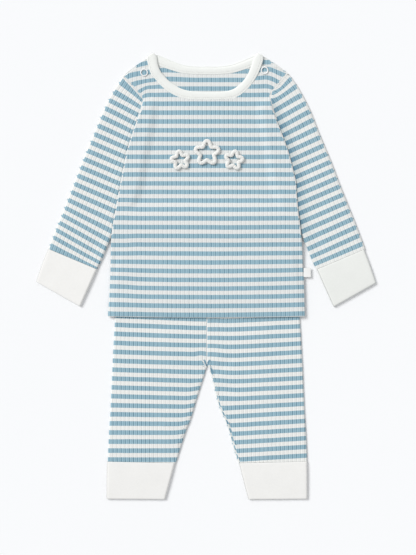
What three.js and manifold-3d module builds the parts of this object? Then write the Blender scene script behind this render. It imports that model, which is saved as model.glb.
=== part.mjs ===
// A baby's ribbed pyjama set laid out flat: a long-sleeved top that lies over its trousers.
// Millimetres. +X is the right as seen from above, +Y runs from the leg cuffs to the neck, +Z is up.
// The origin is on the surface that the set lies on, under the middle of its outline.
// The tables give the right half. The left half is its mirror image.
import * as THREE from 'three';
import { mergeVertices } from 'three/addons/utils/BufferGeometryUtils.js';
import Module from 'manifold-3d';

const wasm = await Module();
wasm.setup();

// Cloth, in one layer, and the gaps between layers and at seams
const CLOTH = 1.0;
const RIB_HEIGHT = 0.4;
const LAYER_GAP = 0.3;
const SEAM_GAP = 0.3;
const SIDE_FOLD = 1.2;
const FRONT_LIFT = CLOTH + LAYER_GAP;
const FLAT_TUBE = FRONT_LIFT + CLOTH + RIB_HEIGHT;
const REST_GAP = LAYER_GAP + 0.05;

// Distance from one rib's crown to the next
const BODY_RIB_PITCH = 5.45;
const LEG_RIB_PITCH = 5.1;
const SLEEVE_RIB_PITCH = 5.1;
const SLEEVE_TURN = THREE.MathUtils.degToRad(22.5);

// Doubled white rib of the cuffs and the waistband
const CUFF_WALL = 1.8;
const WAIST_WALL = 1.5;
const CUFF_HEIGHT = 2 * CUFF_WALL + LAYER_GAP;
const WAIST_HEIGHT = 2 * WAIST_WALL + LAYER_GAP;

// How far the upper layer stands up off the lower one at the middle of each piece
const TOP_LOFT = 1.7;
const SLEEVE_LOFT = 1.1;
const LEG_LOFT = 1.1;
const CUFF_LOFT = 0.3;

// Lengths over which that height comes in from the edges, and the neck's height along the top
const NECK_Y = 256;
const TOP_FADE = { hem: 30, neck: 50, side: 6 };
const SLEEVE_FADE = { clear: 5, slope: 11, shoulderY: 235, shoulderSlope: 30 };

// Hem of the top, lower at its middle
const HEM = { sideY: -51.6, middleY: -53.0 };

// Side fold of the top, from the hem up to the underarm corner
const TOP_SIDE = [
  { x: 122.0, y: HEM.sideY },
  { x: 120.6, y: 0.0 },
  { x: 119.4, y: 49.0 },
  { x: 113.8, y: 87.8 },
  { x: 108.1, y: 129.0 },
  { x: 101.3, y: 157.8 },
  { x: 92.5, y: 181.6 },
  { x: 83.8, y: 204.0 },
  { x: 79.4, y: 220.3 },
];

// Armhole seam, from the underarm corner up to the shoulder tip
const ARMHOLE = [
  { x: 79.4, y: 220.3 },
  { x: 90.0, y: 233.4 },
  { x: 105.0, y: 250.3 },
];

// Upper edge of each panel, from the shoulder tip in to the neck
const FRONT_SHOULDER = [
  { x: 88.8, y: 260.9 },
  { x: 76.0, y: 262.8 },
];
const SHOULDER_END_Y = 262;
const BACK_SHOULDER = [
  { x: 100.0, y: 255.3 },
  { x: 90.0, y: 262.8 },
  { x: 78.8, y: 270.3 },
  { x: 73.5, y: 274.4 },
  { x: 69.5, y: 274.4 },
  { x: 66.6, y: 266.4 },
];

// Neck bindings, a row for each section, from the middle of the neck to the end. The front one's two
// sides differ. Both are given with X positive.
const FRONT_BINDING_LEFT = [
  { outX: 0.0, outY: 220.8, inX: 0.0, inY: 230.3, z: 1.3 },
  { outX: 23.3, outY: 221.7, inX: 19.5, inY: 231.6, z: 1.3 },
  { outX: 39.3, outY: 225.6, inX: 33.5, inY: 235.2, z: 1.3 },
  { outX: 53.9, outY: 235.1, inX: 46.3, inY: 243.4, z: 1.3 },
  { outX: 62.9, outY: 244.7, inX: 53.3, inY: 250.4, z: 1.4 },
  { outX: 69.9, outY: 252.9, inX: 58.4, inY: 256.8, z: 2.0 },
  { outX: 73.0, outY: 263.2, inX: 61.5, inY: 265.1, z: 2.15 },
  { outX: 74.6, outY: 271.0, inX: 63.1, inY: 275.0, z: 2.15 },
  { outX: 72.6, outY: 276.6, inX: 66.4, inY: 279.0, z: 2.15 },
];
const FRONT_BINDING_RIGHT = [
  { outX: 0.0, outY: 220.8, inX: 0.0, inY: 230.3, z: 1.3 },
  { outX: 22.0, outY: 221.2, inX: 18.8, inY: 230.9, z: 1.3 },
  { outX: 38.0, outY: 224.4, inX: 32.6, inY: 234.0, z: 1.3 },
  { outX: 50.6, outY: 234.4, inX: 43.2, inY: 242.2, z: 1.3 },
  { outX: 59.0, outY: 245.0, inX: 49.8, inY: 250.6, z: 1.5 },
  { outX: 64.0, outY: 254.0, inX: 53.2, inY: 257.9, z: 2.1 },
  { outX: 67.4, outY: 262.4, inX: 56.0, inY: 265.4, z: 2.15 },
  { outX: 69.8, outY: 270.2, inX: 59.0, inY: 274.2, z: 2.15 },
  { outX: 69.2, outY: 276.6, inX: 63.2, inY: 279.0, z: 2.15 },
];
const BACK_BINDING = [
  { outX: 0.0, outY: 252.8, inX: 0.0, inY: 262.6, z: 0 },
  { outX: 13.0, outY: 252.8, inX: 12.0, inY: 262.4, z: 0 },
  { outX: 31.0, outY: 254.4, inX: 29.0, inY: 264.4, z: 0 },
  { outX: 46.0, outY: 258.6, inX: 44.0, inY: 269.6, z: 0 },
  { outX: 60.0, outY: 263.6, inX: 58.5, inY: 275.8, z: 0 },
  { outX: 66.0, outY: 266.4, inX: 65.0, inY: 277.4, z: 0 },
];
const FRONT_BINDING_HEIGHT = 2.1;
const BACK_BINDING_HEIGHT = 1.8;

// Sleeve, a row for each section from the armhole seam down to the cuff seam, outer edge and inner edge
const SLEEVE = [
  { outX: 105.0, outY: 250.3, inX: 79.4, inY: 220.3 },
  { outX: 117.5, outY: 232.8, inX: 77.5, inY: 205.3 },
  { outX: 129.4, outY: 210.3, inX: 81.9, inY: 180.0 },
  { outX: 141.9, outY: 180.3, inX: 87.8, inY: 150.3 },
  { outX: 154.4, outY: 150.3, inX: 93.1, inY: 118.4 },
  { outX: 165.6, outY: 120.3, inX: 101.9, inY: 88.4 },
  { outX: 177.5, outY: 90.3, inX: 114.4, inY: 59.7 },
  { outX: 189.4, outY: 60.3, inX: 128.4, inY: 30.9 },
  { outX: 198.8, outY: 34.7, inX: 139.4, inY: 9.7 },
];
const SLEEVE_CUFF = [
  { outX: 198.9, outY: 34.4, inX: 139.5, inY: 9.4 },
  { outX: 206.5, outY: 13.5, inX: 149.5, inY: -13.5 },
  { outX: 213.1, outY: -7.2, inX: 160.0, inY: -37.2 },
];

// Trouser leg, a row for each section from the waist seam down to the cuff seam
const CENTRE = SEAM_GAP / 2;
const LEG = [
  { outX: 100.0, outY: 48.7, inX: CENTRE, inY: 48.7 },
  { outX: 107.5, outY: 17.8, inX: CENTRE, inY: 13.0 },
  { outX: 113.1, outY: -17.2, inX: CENTRE, inY: -22.0 },
  { outX: 117.2, outY: -66.0, inX: CENTRE, inY: -70.0 },
  { outX: 119.4, outY: -107.2, inX: CENTRE, inY: -111.5 },
  { outX: 120.6, outY: -132.2, inX: 6.6, inY: -136.6 },
  { outX: 122.8, outY: -182.2, inX: 22.5, inY: -185.3 },
  { outX: 124.6, outY: -231.6, inX: 40.4, inY: -233.4 },
];
const LEG_CUFF = [
  { outX: 124.6, outY: -231.9, inX: 40.5, inY: -233.7 },
  { outX: 124.9, outY: -255.0, inX: 46.3, inY: -256.3 },
  { outX: 125.0, outY: -278.4, inX: 52.5, inY: -279.0 },
];
const WAISTBAND = [
  { outX: 97.5, outY: 71.6, inX: -97.5, inY: 71.6 },
  { outX: 98.8, outY: 60.3, inX: -98.8, inY: 60.3 },
  { outX: 100.0, outY: 49.0, inX: -100.0, inY: 49.0 },
];

// The legs lie flat from the waist to just past the top's hem, and again at the cuff seam
const LEG_LOFT_Y = -57;
const LEG_SEAM_Y = -233;
const LEG_FADE = 22;

// Height that the trousers hold the top up to, along its length
const ON_LEGS = FLAT_TUBE + REST_GAP;
const ON_WAIST = WAIST_HEIGHT + CUFF_LOFT + REST_GAP;
const TROUSERS_UNDER_TOP = [
  { y: -60.0, z: ON_LEGS },
  { y: 40.0, z: ON_LEGS },
  { y: 49.2, z: ON_WAIST },
  { y: 74.0, z: ON_WAIST },
  { y: 100.0, z: 0 },
];

// The sleeves are tucked under the top's sides. It comes down off them in a slope towards its middle.
const SLEEVE_MOUTH_Y = 210;
const TUCK_TOP_Y = 212;
const TUCK_FADE_Y = 226;
const TUCK_MARGIN = 5;
const TUCK_SLOPE = 14;

// Soft troughs in the upper layer, from one point to another
const TOP_TROUGHS = [
  { fromX: 82, fromY: 216, toX: 64, toY: 246, reach: 9, depth: 0.9 },
  { fromX: 96, fromY: 160, toX: 60, toY: 200, reach: 9, depth: 0.7 },
];
const LEG_TROUGHS = [
  { fromX: 2, fromY: -112, toX: 26, toY: -92, reach: 8, depth: 1.0 },
  { fromX: 8, fromY: -142, toX: 48, toY: -122, reach: 9, depth: 0.8 },
];

// Ring poppers at the shoulders
const POPPER = { outerR: 4.8, innerR: 3.4, height: 1.2, bevel: 0.4, sides: 16 };
const POPPER_PLACES = [
  { name: 'popper_ring_right', x: 72.0, y: 257.2 },
  { name: 'popper_ring_left', x: -78.6, y: 254.7 },
];

// Chest motif: stars of thick couched cord, a large one between two small ones
const STAR_POINTS = 5;
const STAR_DEPTH = 0.2;
const CORD = { halfWidth: 2.3, halfHeight: 1.5, sides: 6, steps: 40 };
const STARS = [
  { name: 'star_left', x: -33.5, y: 145.0, radius: 11.0, turn: 10 },
  { name: 'star_centre', x: 0, y: 154.0, radius: 15.0, turn: 0 },
  { name: 'star_right', x: 33.5, y: 145.0, radius: 11.0, turn: -10 },
];

// Bare folded tab in the right side seam
const LABEL = { x: 121.0, middleY: 4.7, width: 11.2, length: 7.8, thickness: 1.0, rootZ: 4.1, drop: 0.9 };

// Grid lines of the top: rows along its length and columns across it, closer where it slopes
const TOP_ROWS = [
  -56, -20, 10, 40, 49.2, 74, 87, 100, 118, 136, 154, 172, 192, TUCK_TOP_Y, TUCK_FADE_Y, 242, 258, 282,
];
const TOP_COLUMNS = [
  -126, -112, -101, -92, -84, -76, -68, -60, -42, -20, 0, 20, 42, 60, 68, 76, 84, 92, 101, 112, 126,
];
const LEG_ROWS = [80, LEG_LOFT_Y, -74, -90, -104, -120, -138, -160, -185, -213, -260];
const SLEEVE_ROWS = [285, 230, 205, 180, 152, 124, 96, 68, 40, 12, -14, -72];

// Depths that the blocks start from before they are cut, and the reach of the outlines that cut them
const BLOCK_FOOT = -6;
const CUTTER_FOOT = -7;
const PRISM_FOOT = -8;
const PRISM_TOP = 20;
const PRISM_FAR_Y = 300;

const LOOKS = {
  stripedRib: { color: 0xa9c3d0, roughness: 0.95, metalness: 0 },
  whiteRib: { color: 0xe9ece9, roughness: 0.95, metalness: 0 },
  cord: { color: 0xf1f1ec, roughness: 1, metalness: 0 },
  popper: { color: 0xf3f4f4, roughness: 0.35, metalness: 0 },
  label: { color: 0xf4f4f2, roughness: 0.8, metalness: 0 },
};

const clamp01 = (value) => Math.min(1, Math.max(0, value));
const hump = (t) => Math.max(0, 1 - t * t);
const mix = (a, b, t) => a + (b - a) * t;

// A table's column at a place along another of its columns, straight between rows
function tableAt(table, alongKey, along, valueKey) {
  const rising = [...table].sort((a, b) => a[alongKey] - b[alongKey]);
  if (along <= rising[0][alongKey]) return rising[0][valueKey];
  for (let i = 1; i < rising.length; i += 1) {
    const low = rising[i - 1];
    const high = rising[i];
    if (along <= high[alongKey]) {
      const t = (along - low[alongKey]) / (high[alongKey] - low[alongKey]);
      return mix(low[valueKey], high[valueKey], t);
    }
  }
  return rising[rising.length - 1][valueKey];
}

// Solids and how they are joined and cut
function toSolid(geometry) {
  const bare = new THREE.BufferGeometry();
  bare.setAttribute('position', geometry.getAttribute('position'));
  if (geometry.index) bare.setIndex(geometry.index);
  const merged = mergeVertices(bare, 1e-4);
  return new wasm.Manifold(new wasm.Mesh({
    numProp: 3,
    vertProperties: Float32Array.from(merged.getAttribute('position').array),
    triVerts: Uint32Array.from(merged.index.array),
  }));
}

function toGeometry(solid) {
  const { vertProperties, triVerts } = solid.getMesh();
  return meshGeometry(vertProperties, triVerts);
}

function meshGeometry(positions, faces) {
  const geometry = new THREE.BufferGeometry();
  geometry.setAttribute('position', new THREE.Float32BufferAttribute(positions, 3));
  geometry.setIndex([...faces]);
  geometry.computeVertexNormals();
  return geometry;
}

function mirrored(geometry) {
  const positions = Float32Array.from(geometry.getAttribute('position').array);
  for (let i = 0; i < positions.length; i += 3) positions[i] *= -1;
  const faces = [...geometry.index.array];
  for (let i = 0; i < faces.length; i += 3) [faces[i], faces[i + 1]] = [faces[i + 1], faces[i]];
  return meshGeometry(positions, faces);
}

// Outlines
function smooth(points, count) {
  const curve = new THREE.SplineCurve(points.map(({ x, y }) => new THREE.Vector2(x, y)));
  return curve.getPoints(count);
}

// A closed outline from its right half, up its right side, and its left half given the same way
function joinHalves(right, left = right) {
  return [...right, ...[...left].reverse().map(({ x, y }) => new THREE.Vector2(-x, y))];
}

// A line of points moved sideways, to its left for a positive distance
function shifted(points, distance) {
  return points.map((point, i) => {
    const before = points[Math.max(0, i - 1)];
    const after = points[Math.min(points.length - 1, i + 1)];
    const along = new THREE.Vector2(after.x - before.x, after.y - before.y).normalize();
    return new THREE.Vector2(point.x - along.y * distance, point.y + along.x * distance);
  });
}

function prism(outline, fromZ = PRISM_FOOT, toZ = PRISM_TOP) {
  const geometry = new THREE.ExtrudeGeometry(new THREE.Shape(outline), {
    depth: toZ - fromZ,
    bevelEnabled: false,
  });
  geometry.translate(0, 0, fromZ);
  return toSolid(geometry);
}

// Outline of a flat tube. The insets move its folds inwards, and the overrun moves its open ends out.
function tubeOutline(sections, count, options = {}) {
  const { outInset = 0, inInset = () => 0, overrun = 0, leastX = -Infinity } = options;
  const outer = [];
  const inner = [];
  sections.forEach((row, i) => {
    const out = new THREE.Vector2(row.outX, row.outY);
    const inn = new THREE.Vector2(row.inX, row.inY);
    const across = out.clone().sub(inn).normalize();
    const down = new THREE.Vector2(across.y, -across.x);
    const push = (i === sections.length - 1 ? overrun : 0) - (i === 0 ? overrun : 0);
    outer.push(out.addScaledVector(across, -outInset).addScaledVector(down, push));
    inner.push(inn.addScaledVector(across, inInset(row)).addScaledVector(down, push));
  });
  const innerLine = smooth(inner, count).map(({ x, y }) => new THREE.Vector2(Math.max(x, leastX), y));
  return [...smooth(outer, count), ...innerLine.reverse()];
}

// A closed block over a grid, between two heights: a number each, or a function of the place and the
// column's number. The grid may be turned about the origin.
function gridBlock(columns, rows, under, over, turn = 0) {
  const positions = [];
  const upward = rows[rows.length - 1] > rows[0] ? rows : [...rows].reverse();
  for (const level of [under, over]) {
    upward.forEach((v) => columns.forEach((u, column) => {
      const x = u * Math.cos(turn) - v * Math.sin(turn);
      const y = u * Math.sin(turn) + v * Math.cos(turn);
      positions.push(x, y, typeof level === 'function' ? level(x, y, column) : level);
    }));
  }
  const wide = columns.length;
  const high = upward.length;
  const layer = wide * high;
  const faces = [];
  const quad = (a, b, c, d) => faces.push(a, b, c, a, c, d);
  for (let row = 0; row + 1 < high; row += 1) {
    for (let column = 0; column + 1 < wide; column += 1) {
      const a = row * wide + column;
      quad(a, a + wide, a + wide + 1, a + 1);
      quad(layer + a, layer + a + 1, layer + a + wide + 1, layer + a + wide);
    }
  }
  const border = [];
  for (let column = 0; column < wide - 1; column += 1) border.push(column);
  for (let row = 0; row < high - 1; row += 1) border.push(row * wide + wide - 1);
  for (let column = wide - 1; column > 0; column -= 1) border.push((high - 1) * wide + column);
  for (let row = high - 1; row > 0; row -= 1) border.push(row * wide);
  border.forEach((a, i) => {
    const b = border[(i + 1) % border.length];
    quad(a, b, layer + b, layer + a);
  });
  return toSolid(meshGeometry(positions, faces));
}

// Columns at each rib's crown and at the groove beside it
function ribColumns(pitch, from, to) {
  const first = Math.floor(from / pitch);
  const count = 2 * (Math.ceil(to / pitch) - first);
  return Array.from({ length: count + 1 }, (_, i) => (first + i / 2) * pitch);
}
const ribAt = (column) => (column % 2 === 0 ? 0 : RIB_HEIGHT);

// A mesh through rings of points. Its ends are closed with fans, or the last ring meets the first.
function loft(rings, closedPath = false) {
  const sides = rings[0].length;
  const positions = rings.flat().flatMap((p) => [p.x, p.y, p.z]);
  const faces = [];
  const spans = closedPath ? rings.length : rings.length - 1;
  for (let i = 0; i < spans; i += 1) {
    const here = i * sides;
    const next = ((i + 1) % rings.length) * sides;
    for (let k = 0; k < sides; k += 1) {
      const k2 = (k + 1) % sides;
      faces.push(here + k, here + k2, next + k2, here + k, next + k2, next + k);
    }
  }
  if (!closedPath) {
    const last = (rings.length - 1) * sides;
    for (let k = 1; k + 1 < sides; k += 1) {
      faces.push(0, k + 1, k, last, last + k, last + k + 1);
    }
  }
  const geometry = meshGeometry(positions, faces);
  return signedVolume(geometry) < 0 ? turnedInsideOut(geometry) : geometry;
}

function signedVolume(geometry) {
  const at = geometry.getAttribute('position');
  const faces = geometry.index.array;
  const corner = (i) => new THREE.Vector3().fromBufferAttribute(at, i);
  let volume = 0;
  for (let i = 0; i < faces.length; i += 3) {
    const cross = corner(faces[i + 1]).cross(corner(faces[i + 2]));
    volume += corner(faces[i]).dot(cross) / 6;
  }
  return volume;
}

function turnedInsideOut(geometry) {
  const faces = [...geometry.index.array];
  for (let i = 0; i < faces.length; i += 3) [faces[i], faces[i + 1]] = [faces[i + 1], faces[i]];
  return meshGeometry(geometry.getAttribute('position').array, faces);
}

// Heights
// A height with straight stretches between the top's columns, so that its layers stay parallel
function onTopColumns(height) {
  return (x, y) => {
    const right = Math.max(1, TOP_COLUMNS.findIndex((column) => column >= x));
    const [x0, x1] = [TOP_COLUMNS[right - 1], TOP_COLUMNS[right]];
    return mix(height(x0, y), height(x1, y), (x - x0) / (x1 - x0));
  };
}

function layersUnderTop(x, y) {
  const trousers = tableAt(TROUSERS_UNDER_TOP, 'y', y, 'z');
  const tuckX = tableAt(SLEEVE, 'inY', y, 'inX') - TUCK_MARGIN;
  const slope = clamp01((Math.abs(x) - tuckX + TUCK_SLOPE) / TUCK_SLOPE);
  const held = clamp01((TUCK_FADE_Y - y) / (TUCK_FADE_Y - TUCK_TOP_Y));
  return Math.max(trousers, ON_LEGS * slope * held);
}

function troughDepth(troughs, x, y) {
  const depths = troughs.map(({ fromX, fromY, toX, toY, reach, depth }) => {
    const line = new THREE.Line3(new THREE.Vector3(fromX, fromY, 0), new THREE.Vector3(toX, toY, 0));
    const place = new THREE.Vector3(Math.abs(x), y, 0);
    const nearest = line.closestPointToPoint(place, true, new THREE.Vector3());
    return depth * hump(nearest.distanceTo(place) / reach);
  });
  return Math.max(...depths);
}

function topLoft(x, y) {
  const side = tableAt(TOP_SIDE, 'y', y, 'x');
  const lengthwise = clamp01((y - HEM.middleY) / TOP_FADE.hem) * clamp01((NECK_Y - y) / TOP_FADE.neck);
  const lift = TOP_LOFT * hump(x / (side - TOP_FADE.side)) * lengthwise;
  return Math.max(0, lift - troughDepth(TOP_TROUGHS, x, y));
}

const topBackUnder = onTopColumns(layersUnderTop);
const topFrontUnder = onTopColumns((x, y) => layersUnderTop(x, y) + FRONT_LIFT + topLoft(x, y));
const topFrontOver = (x, y) => topFrontUnder(x, y) + CLOTH;

function sleeveLoft(x, y) {
  const { clear, slope, shoulderY, shoulderSlope } = SLEEVE_FADE;
  const fromBody = clamp01((x - tableAt(TOP_SIDE, 'y', y, 'x') - clear) / slope);
  const fromFold = clamp01((tableAt(SLEEVE, 'outY', y, 'outX') - x) / slope);
  const fromShoulder = clamp01((shoulderY - y) / shoulderSlope);
  return SLEEVE_LOFT * fromBody * fromFold * fromShoulder;
}

function legLoft(x, y) {
  const outX = tableAt(LEG, 'outY', y, 'outX');
  const inX = tableAt(LEG, 'inY', y, 'inX');
  const across = hump((2 * x - outX - inX) / (outX - inX));
  const lengthwise = clamp01((LEG_LOFT_Y - y) / LEG_FADE) * clamp01((y - LEG_SEAM_Y) / LEG_FADE);
  return Math.max(0, LEG_LOFT * across * lengthwise - troughDepth(LEG_TROUGHS, x, y));
}

// Pieces
function topHalfOutline() {
  const hem = [new THREE.Vector2(0, HEM.middleY)];
  return [...hem, ...smooth(TOP_SIDE, 16), ...smooth(ARMHOLE, 4).slice(1)];
}

// One edge of a neck binding, 'out' or 'in'
function bindingLine(sections, edge) {
  const points = sections.map((row) => ({ x: row[`${edge}X`], y: row[`${edge}Y`] }));
  return smooth(points, 2 * (sections.length - 1));
}

function topFrontHalf(binding) {
  const neckEdge = shifted(bindingLine(binding, 'out'), -SEAM_GAP);
  const neckline = neckEdge.filter(({ y }) => y < SHOULDER_END_Y);
  const half = [...topHalfOutline(), ...FRONT_SHOULDER, ...neckline.reverse()];
  half[half.length - 1].x = 0;
  return half;
}

function topFront() {
  const outline = joinHalves(topFrontHalf(FRONT_BINDING_RIGHT), topFrontHalf(FRONT_BINDING_LEFT));
  const columns = ribColumns(BODY_RIB_PITCH, -124, 124);
  const over = (x, y, column) => topFrontOver(x, y) + ribAt(column);
  const upper = gridBlock(columns, TOP_ROWS, BLOCK_FOOT, over);
  const below = gridBlock(TOP_COLUMNS, TOP_ROWS, CUTTER_FOOT, topFrontUnder);
  return toGeometry(upper.intersect(prism(outline)).subtract(below));
}

function topBack() {
  const neckline = shifted(bindingLine(BACK_BINDING, 'out'), -SEAM_GAP);
  const half = [...topHalfOutline(), ...BACK_SHOULDER, ...neckline.reverse()];
  half[half.length - 1].x = 0;
  const upper = gridBlock(TOP_COLUMNS, TOP_ROWS, BLOCK_FOOT, (x, y) => topBackUnder(x, y) + CLOTH);
  const below = gridBlock(TOP_COLUMNS, TOP_ROWS, CUTTER_FOOT, topBackUnder);
  return toGeometry(upper.intersect(prism(joinHalves(half))).subtract(below));
}

function sleeve() {
  const outline = tubeOutline(SLEEVE, 16);
  const columns = ribColumns(SLEEVE_RIB_PITCH, 90, 215);
  const over = (x, y, column) => FLAT_TUBE - RIB_HEIGHT + sleeveLoft(x, y) + ribAt(column);
  const block = gridBlock(columns, SLEEVE_ROWS, BLOCK_FOOT, over, SLEEVE_TURN);
  const outer = block.intersect(prism(outline, 0));
  const inside = tubeOutline(SLEEVE, 16, { outInset: SIDE_FOLD, inInset: () => SIDE_FOLD, overrun: 4 });
  const coarse = ribColumns(2 * SLEEVE_RIB_PITCH, 90, 215);
  const gapOver = (x, y) => FRONT_LIFT + sleeveLoft(x, y);
  const gap = gridBlock(coarse, SLEEVE_ROWS, CUTTER_FOOT, gapOver, SLEEVE_TURN);
  const hollow = gap.intersect(prism(inside, CLOTH));
  return toGeometry(outer.subtract(hollow).subtract(prism(armholeOutline())));
}

// The area inside the armhole seam, with the seam's gap round it, above the sleeve's tucked edge
function armholeOutline() {
  const seam = shifted(topHalfOutline().filter(({ y }) => y > SLEEVE_MOUTH_Y), -SEAM_GAP);
  const mouthX = tableAt(TOP_SIDE, 'y', SLEEVE_MOUTH_Y, 'x') + SEAM_GAP;
  const tip = seam[seam.length - 1];
  const inside = [[tip.x, PRISM_FAR_Y], [0, PRISM_FAR_Y], [0, SLEEVE_MOUTH_Y], [mouthX, SLEEVE_MOUTH_Y]];
  return [...seam, ...inside.map(([x, y]) => new THREE.Vector2(x, y))];
}

function leg() {
  const columns = ribColumns(LEG_RIB_PITCH, 0, 127);
  const over = (x, y, column) => FLAT_TUBE - RIB_HEIGHT + legLoft(x, y) + ribAt(column);
  const outline = tubeOutline(LEG, 14, { leastX: CENTRE });
  const outer = gridBlock(columns, LEG_ROWS, BLOCK_FOOT, over).intersect(prism(outline, 0));
  const inInset = (row) => (row.inX === CENTRE ? -4 : SIDE_FOLD);
  const inside = tubeOutline(LEG, 14, { outInset: SIDE_FOLD, inInset, overrun: 4 });
  const coarse = ribColumns(3 * LEG_RIB_PITCH, -15, 127);
  const gapOver = (x, y) => FRONT_LIFT + legLoft(x, y);
  const hollow = gridBlock(coarse, LEG_ROWS, CUTTER_FOOT, gapOver).intersect(prism(inside, CLOTH));
  return toGeometry(outer.subtract(hollow));
}

// A flat tube of plain rib: rounded at its folds, flat below, and open at both ends
function ribTube(sections, wall, height) {
  const rings = sections.map((row) => {
    const out = new THREE.Vector3(row.outX, row.outY, 0);
    const inn = new THREE.Vector3(row.inX, row.inY, 0);
    const width = out.distanceTo(inn);
    const across = out.clone().sub(inn).normalize();
    const profile = [
      [0, 0.45 * height], [0.8, 0], [width - 0.8, 0], [width, 0.45 * height], [width - 1.6, height],
      [0.7 * width, height + CUFF_LOFT], [0.3 * width, height + CUFF_LOFT], [1.6, height],
    ];
    return profile.map(([s, z]) => inn.clone().addScaledVector(across, s).setZ(z));
  });
  const inside = tubeOutline(sections, 4, { outInset: wall, inInset: () => wall, overrun: 4 });
  return toGeometry(toSolid(loft(rings)).subtract(prism(inside, wall, wall + LAYER_GAP)));
}

// A strip along the neck with a rounded upper side, from the two sides' tables
function neckBinding(height, right, left = right) {
  const halfRings = (sections) => {
    const outer = bindingLine(sections, 'out');
    const inner = bindingLine(sections, 'in');
    return outer.map((out, i) => {
      const z = tableAt(sections, 'outX', out.x, 'z');
      const at = (t, up) => new THREE.Vector3(mix(out.x, inner[i].x, t), mix(out.y, inner[i].y, t), z + up);
      const side = 0.6 * height;
      return [at(0, 0), at(1, 0), at(1, side), at(0.8, height), at(0.2, height), at(0, side)];
    });
  };
  const toLeft = (p) => new THREE.Vector3(-p.x, p.y, p.z);
  const leftRings = halfRings(left).slice(1).reverse().map((ring) => ring.map(toLeft));
  return loft([...leftRings, ...halfRings(right)]);
}

// A ring set on the front panel, its bore open to the cloth
function popperRing({ x, y }) {
  const { outerR, innerR, height, bevel } = POPPER;
  const profile = [
    [innerR, 0], [outerR, 0], [outerR, height - bevel], [outerR - bevel, height],
    [innerR + bevel, height], [innerR, height - bevel], [innerR, 0],
  ].map(([r, z]) => new THREE.Vector2(r, z));
  const ring = new THREE.LatheGeometry(profile, POPPER.sides);
  ring.rotateX(Math.PI / 2);
  ring.translate(x, y, topFrontOver(x, y) + RIB_HEIGHT + LAYER_GAP);
  return toGeometry(toSolid(ring));
}

// A cord laid on the front panel along a soft star
function cordStar({ x, y, radius, turn }) {
  const pathAt = (angle) => {
    const r = radius * (1 - STAR_DEPTH + STAR_DEPTH * Math.cos(STAR_POINTS * angle));
    const heading = angle + Math.PI / 2 + THREE.MathUtils.degToRad(turn);
    const px = x + r * Math.cos(heading);
    const py = y + r * Math.sin(heading);
    const seat = topFrontOver(px, py) + RIB_HEIGHT + LAYER_GAP;
    return new THREE.Vector3(px, py, seat + CORD.halfHeight);
  };
  const rings = Array.from({ length: CORD.steps }, (_, i) => {
    const angle = (2 * Math.PI * i) / CORD.steps;
    const middle = pathAt(angle);
    const along = pathAt(angle + 0.01).sub(pathAt(angle - 0.01)).setZ(0).normalize();
    const sideways = new THREE.Vector3(along.y, -along.x, 0);
    return Array.from({ length: CORD.sides }, (__, k) => {
      const around = (2 * Math.PI * (k + 0.5)) / CORD.sides;
      const point = middle.clone().addScaledVector(sideways, CORD.halfWidth * Math.cos(around));
      return point.setZ(point.z + CORD.halfHeight * Math.sin(around));
    });
  });
  return loft(rings, true);
}

// A folded tab that leaves the side seam and droops a little
function sideLabel() {
  const { x, middleY, width, length, thickness, rootZ, drop } = LABEL;
  const shape = new THREE.Shape([
    new THREE.Vector2(x, rootZ),
    new THREE.Vector2(x + length / 2, rootZ - drop / 3),
    new THREE.Vector2(x + length, rootZ - drop),
    new THREE.Vector2(x + length, rootZ - drop + thickness),
    new THREE.Vector2(x + length / 2, rootZ - drop / 3 + thickness),
    new THREE.Vector2(x, rootZ + thickness),
  ]);
  const tab = new THREE.ExtrudeGeometry(shape, { depth: width, bevelEnabled: false });
  tab.rotateX(Math.PI / 2);
  tab.translate(0, middleY + width / 2, 0);
  return toGeometry(toSolid(tab));
}

// The set
const pyjamaSet = new THREE.Group();

function addPiece(name, geometry, look) {
  const mesh = new THREE.Mesh(geometry, new THREE.MeshStandardMaterial({ ...look, flatShading: true }));
  mesh.name = name;
  pyjamaSet.add(mesh);
}

function addPair(name, geometry, look) {
  addPiece(`${name}_right`, geometry, look);
  addPiece(`${name}_left`, mirrored(geometry), look);
}

addPiece('top_front', topFront(), LOOKS.stripedRib);
addPiece('top_back', topBack(), LOOKS.stripedRib);
addPair('sleeve', sleeve(), LOOKS.stripedRib);
addPair('leg', leg(), LOOKS.stripedRib);
addPair('cuff', ribTube(SLEEVE_CUFF, CUFF_WALL, CUFF_HEIGHT), LOOKS.whiteRib);
addPair('leg_cuff', ribTube(LEG_CUFF, CUFF_WALL, CUFF_HEIGHT), LOOKS.whiteRib);
addPiece('waistband', ribTube(WAISTBAND, WAIST_WALL, WAIST_HEIGHT), LOOKS.whiteRib);
addPiece(
  'neck_binding_front',
  neckBinding(FRONT_BINDING_HEIGHT, FRONT_BINDING_RIGHT, FRONT_BINDING_LEFT),
  LOOKS.whiteRib,
);
addPiece('neck_binding_back', neckBinding(BACK_BINDING_HEIGHT, BACK_BINDING), LOOKS.whiteRib);
POPPER_PLACES.forEach((place) => addPiece(place.name, popperRing(place), LOOKS.popper));
STARS.forEach((star) => addPiece(star.name, cordStar(star), LOOKS.cord));
addPiece('side_label', sideLabel(), LOOKS.label);

export default pyjamaSet;
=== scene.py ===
import math
from collections import namedtuple

import bmesh
import bpy
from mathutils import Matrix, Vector, noise


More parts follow.
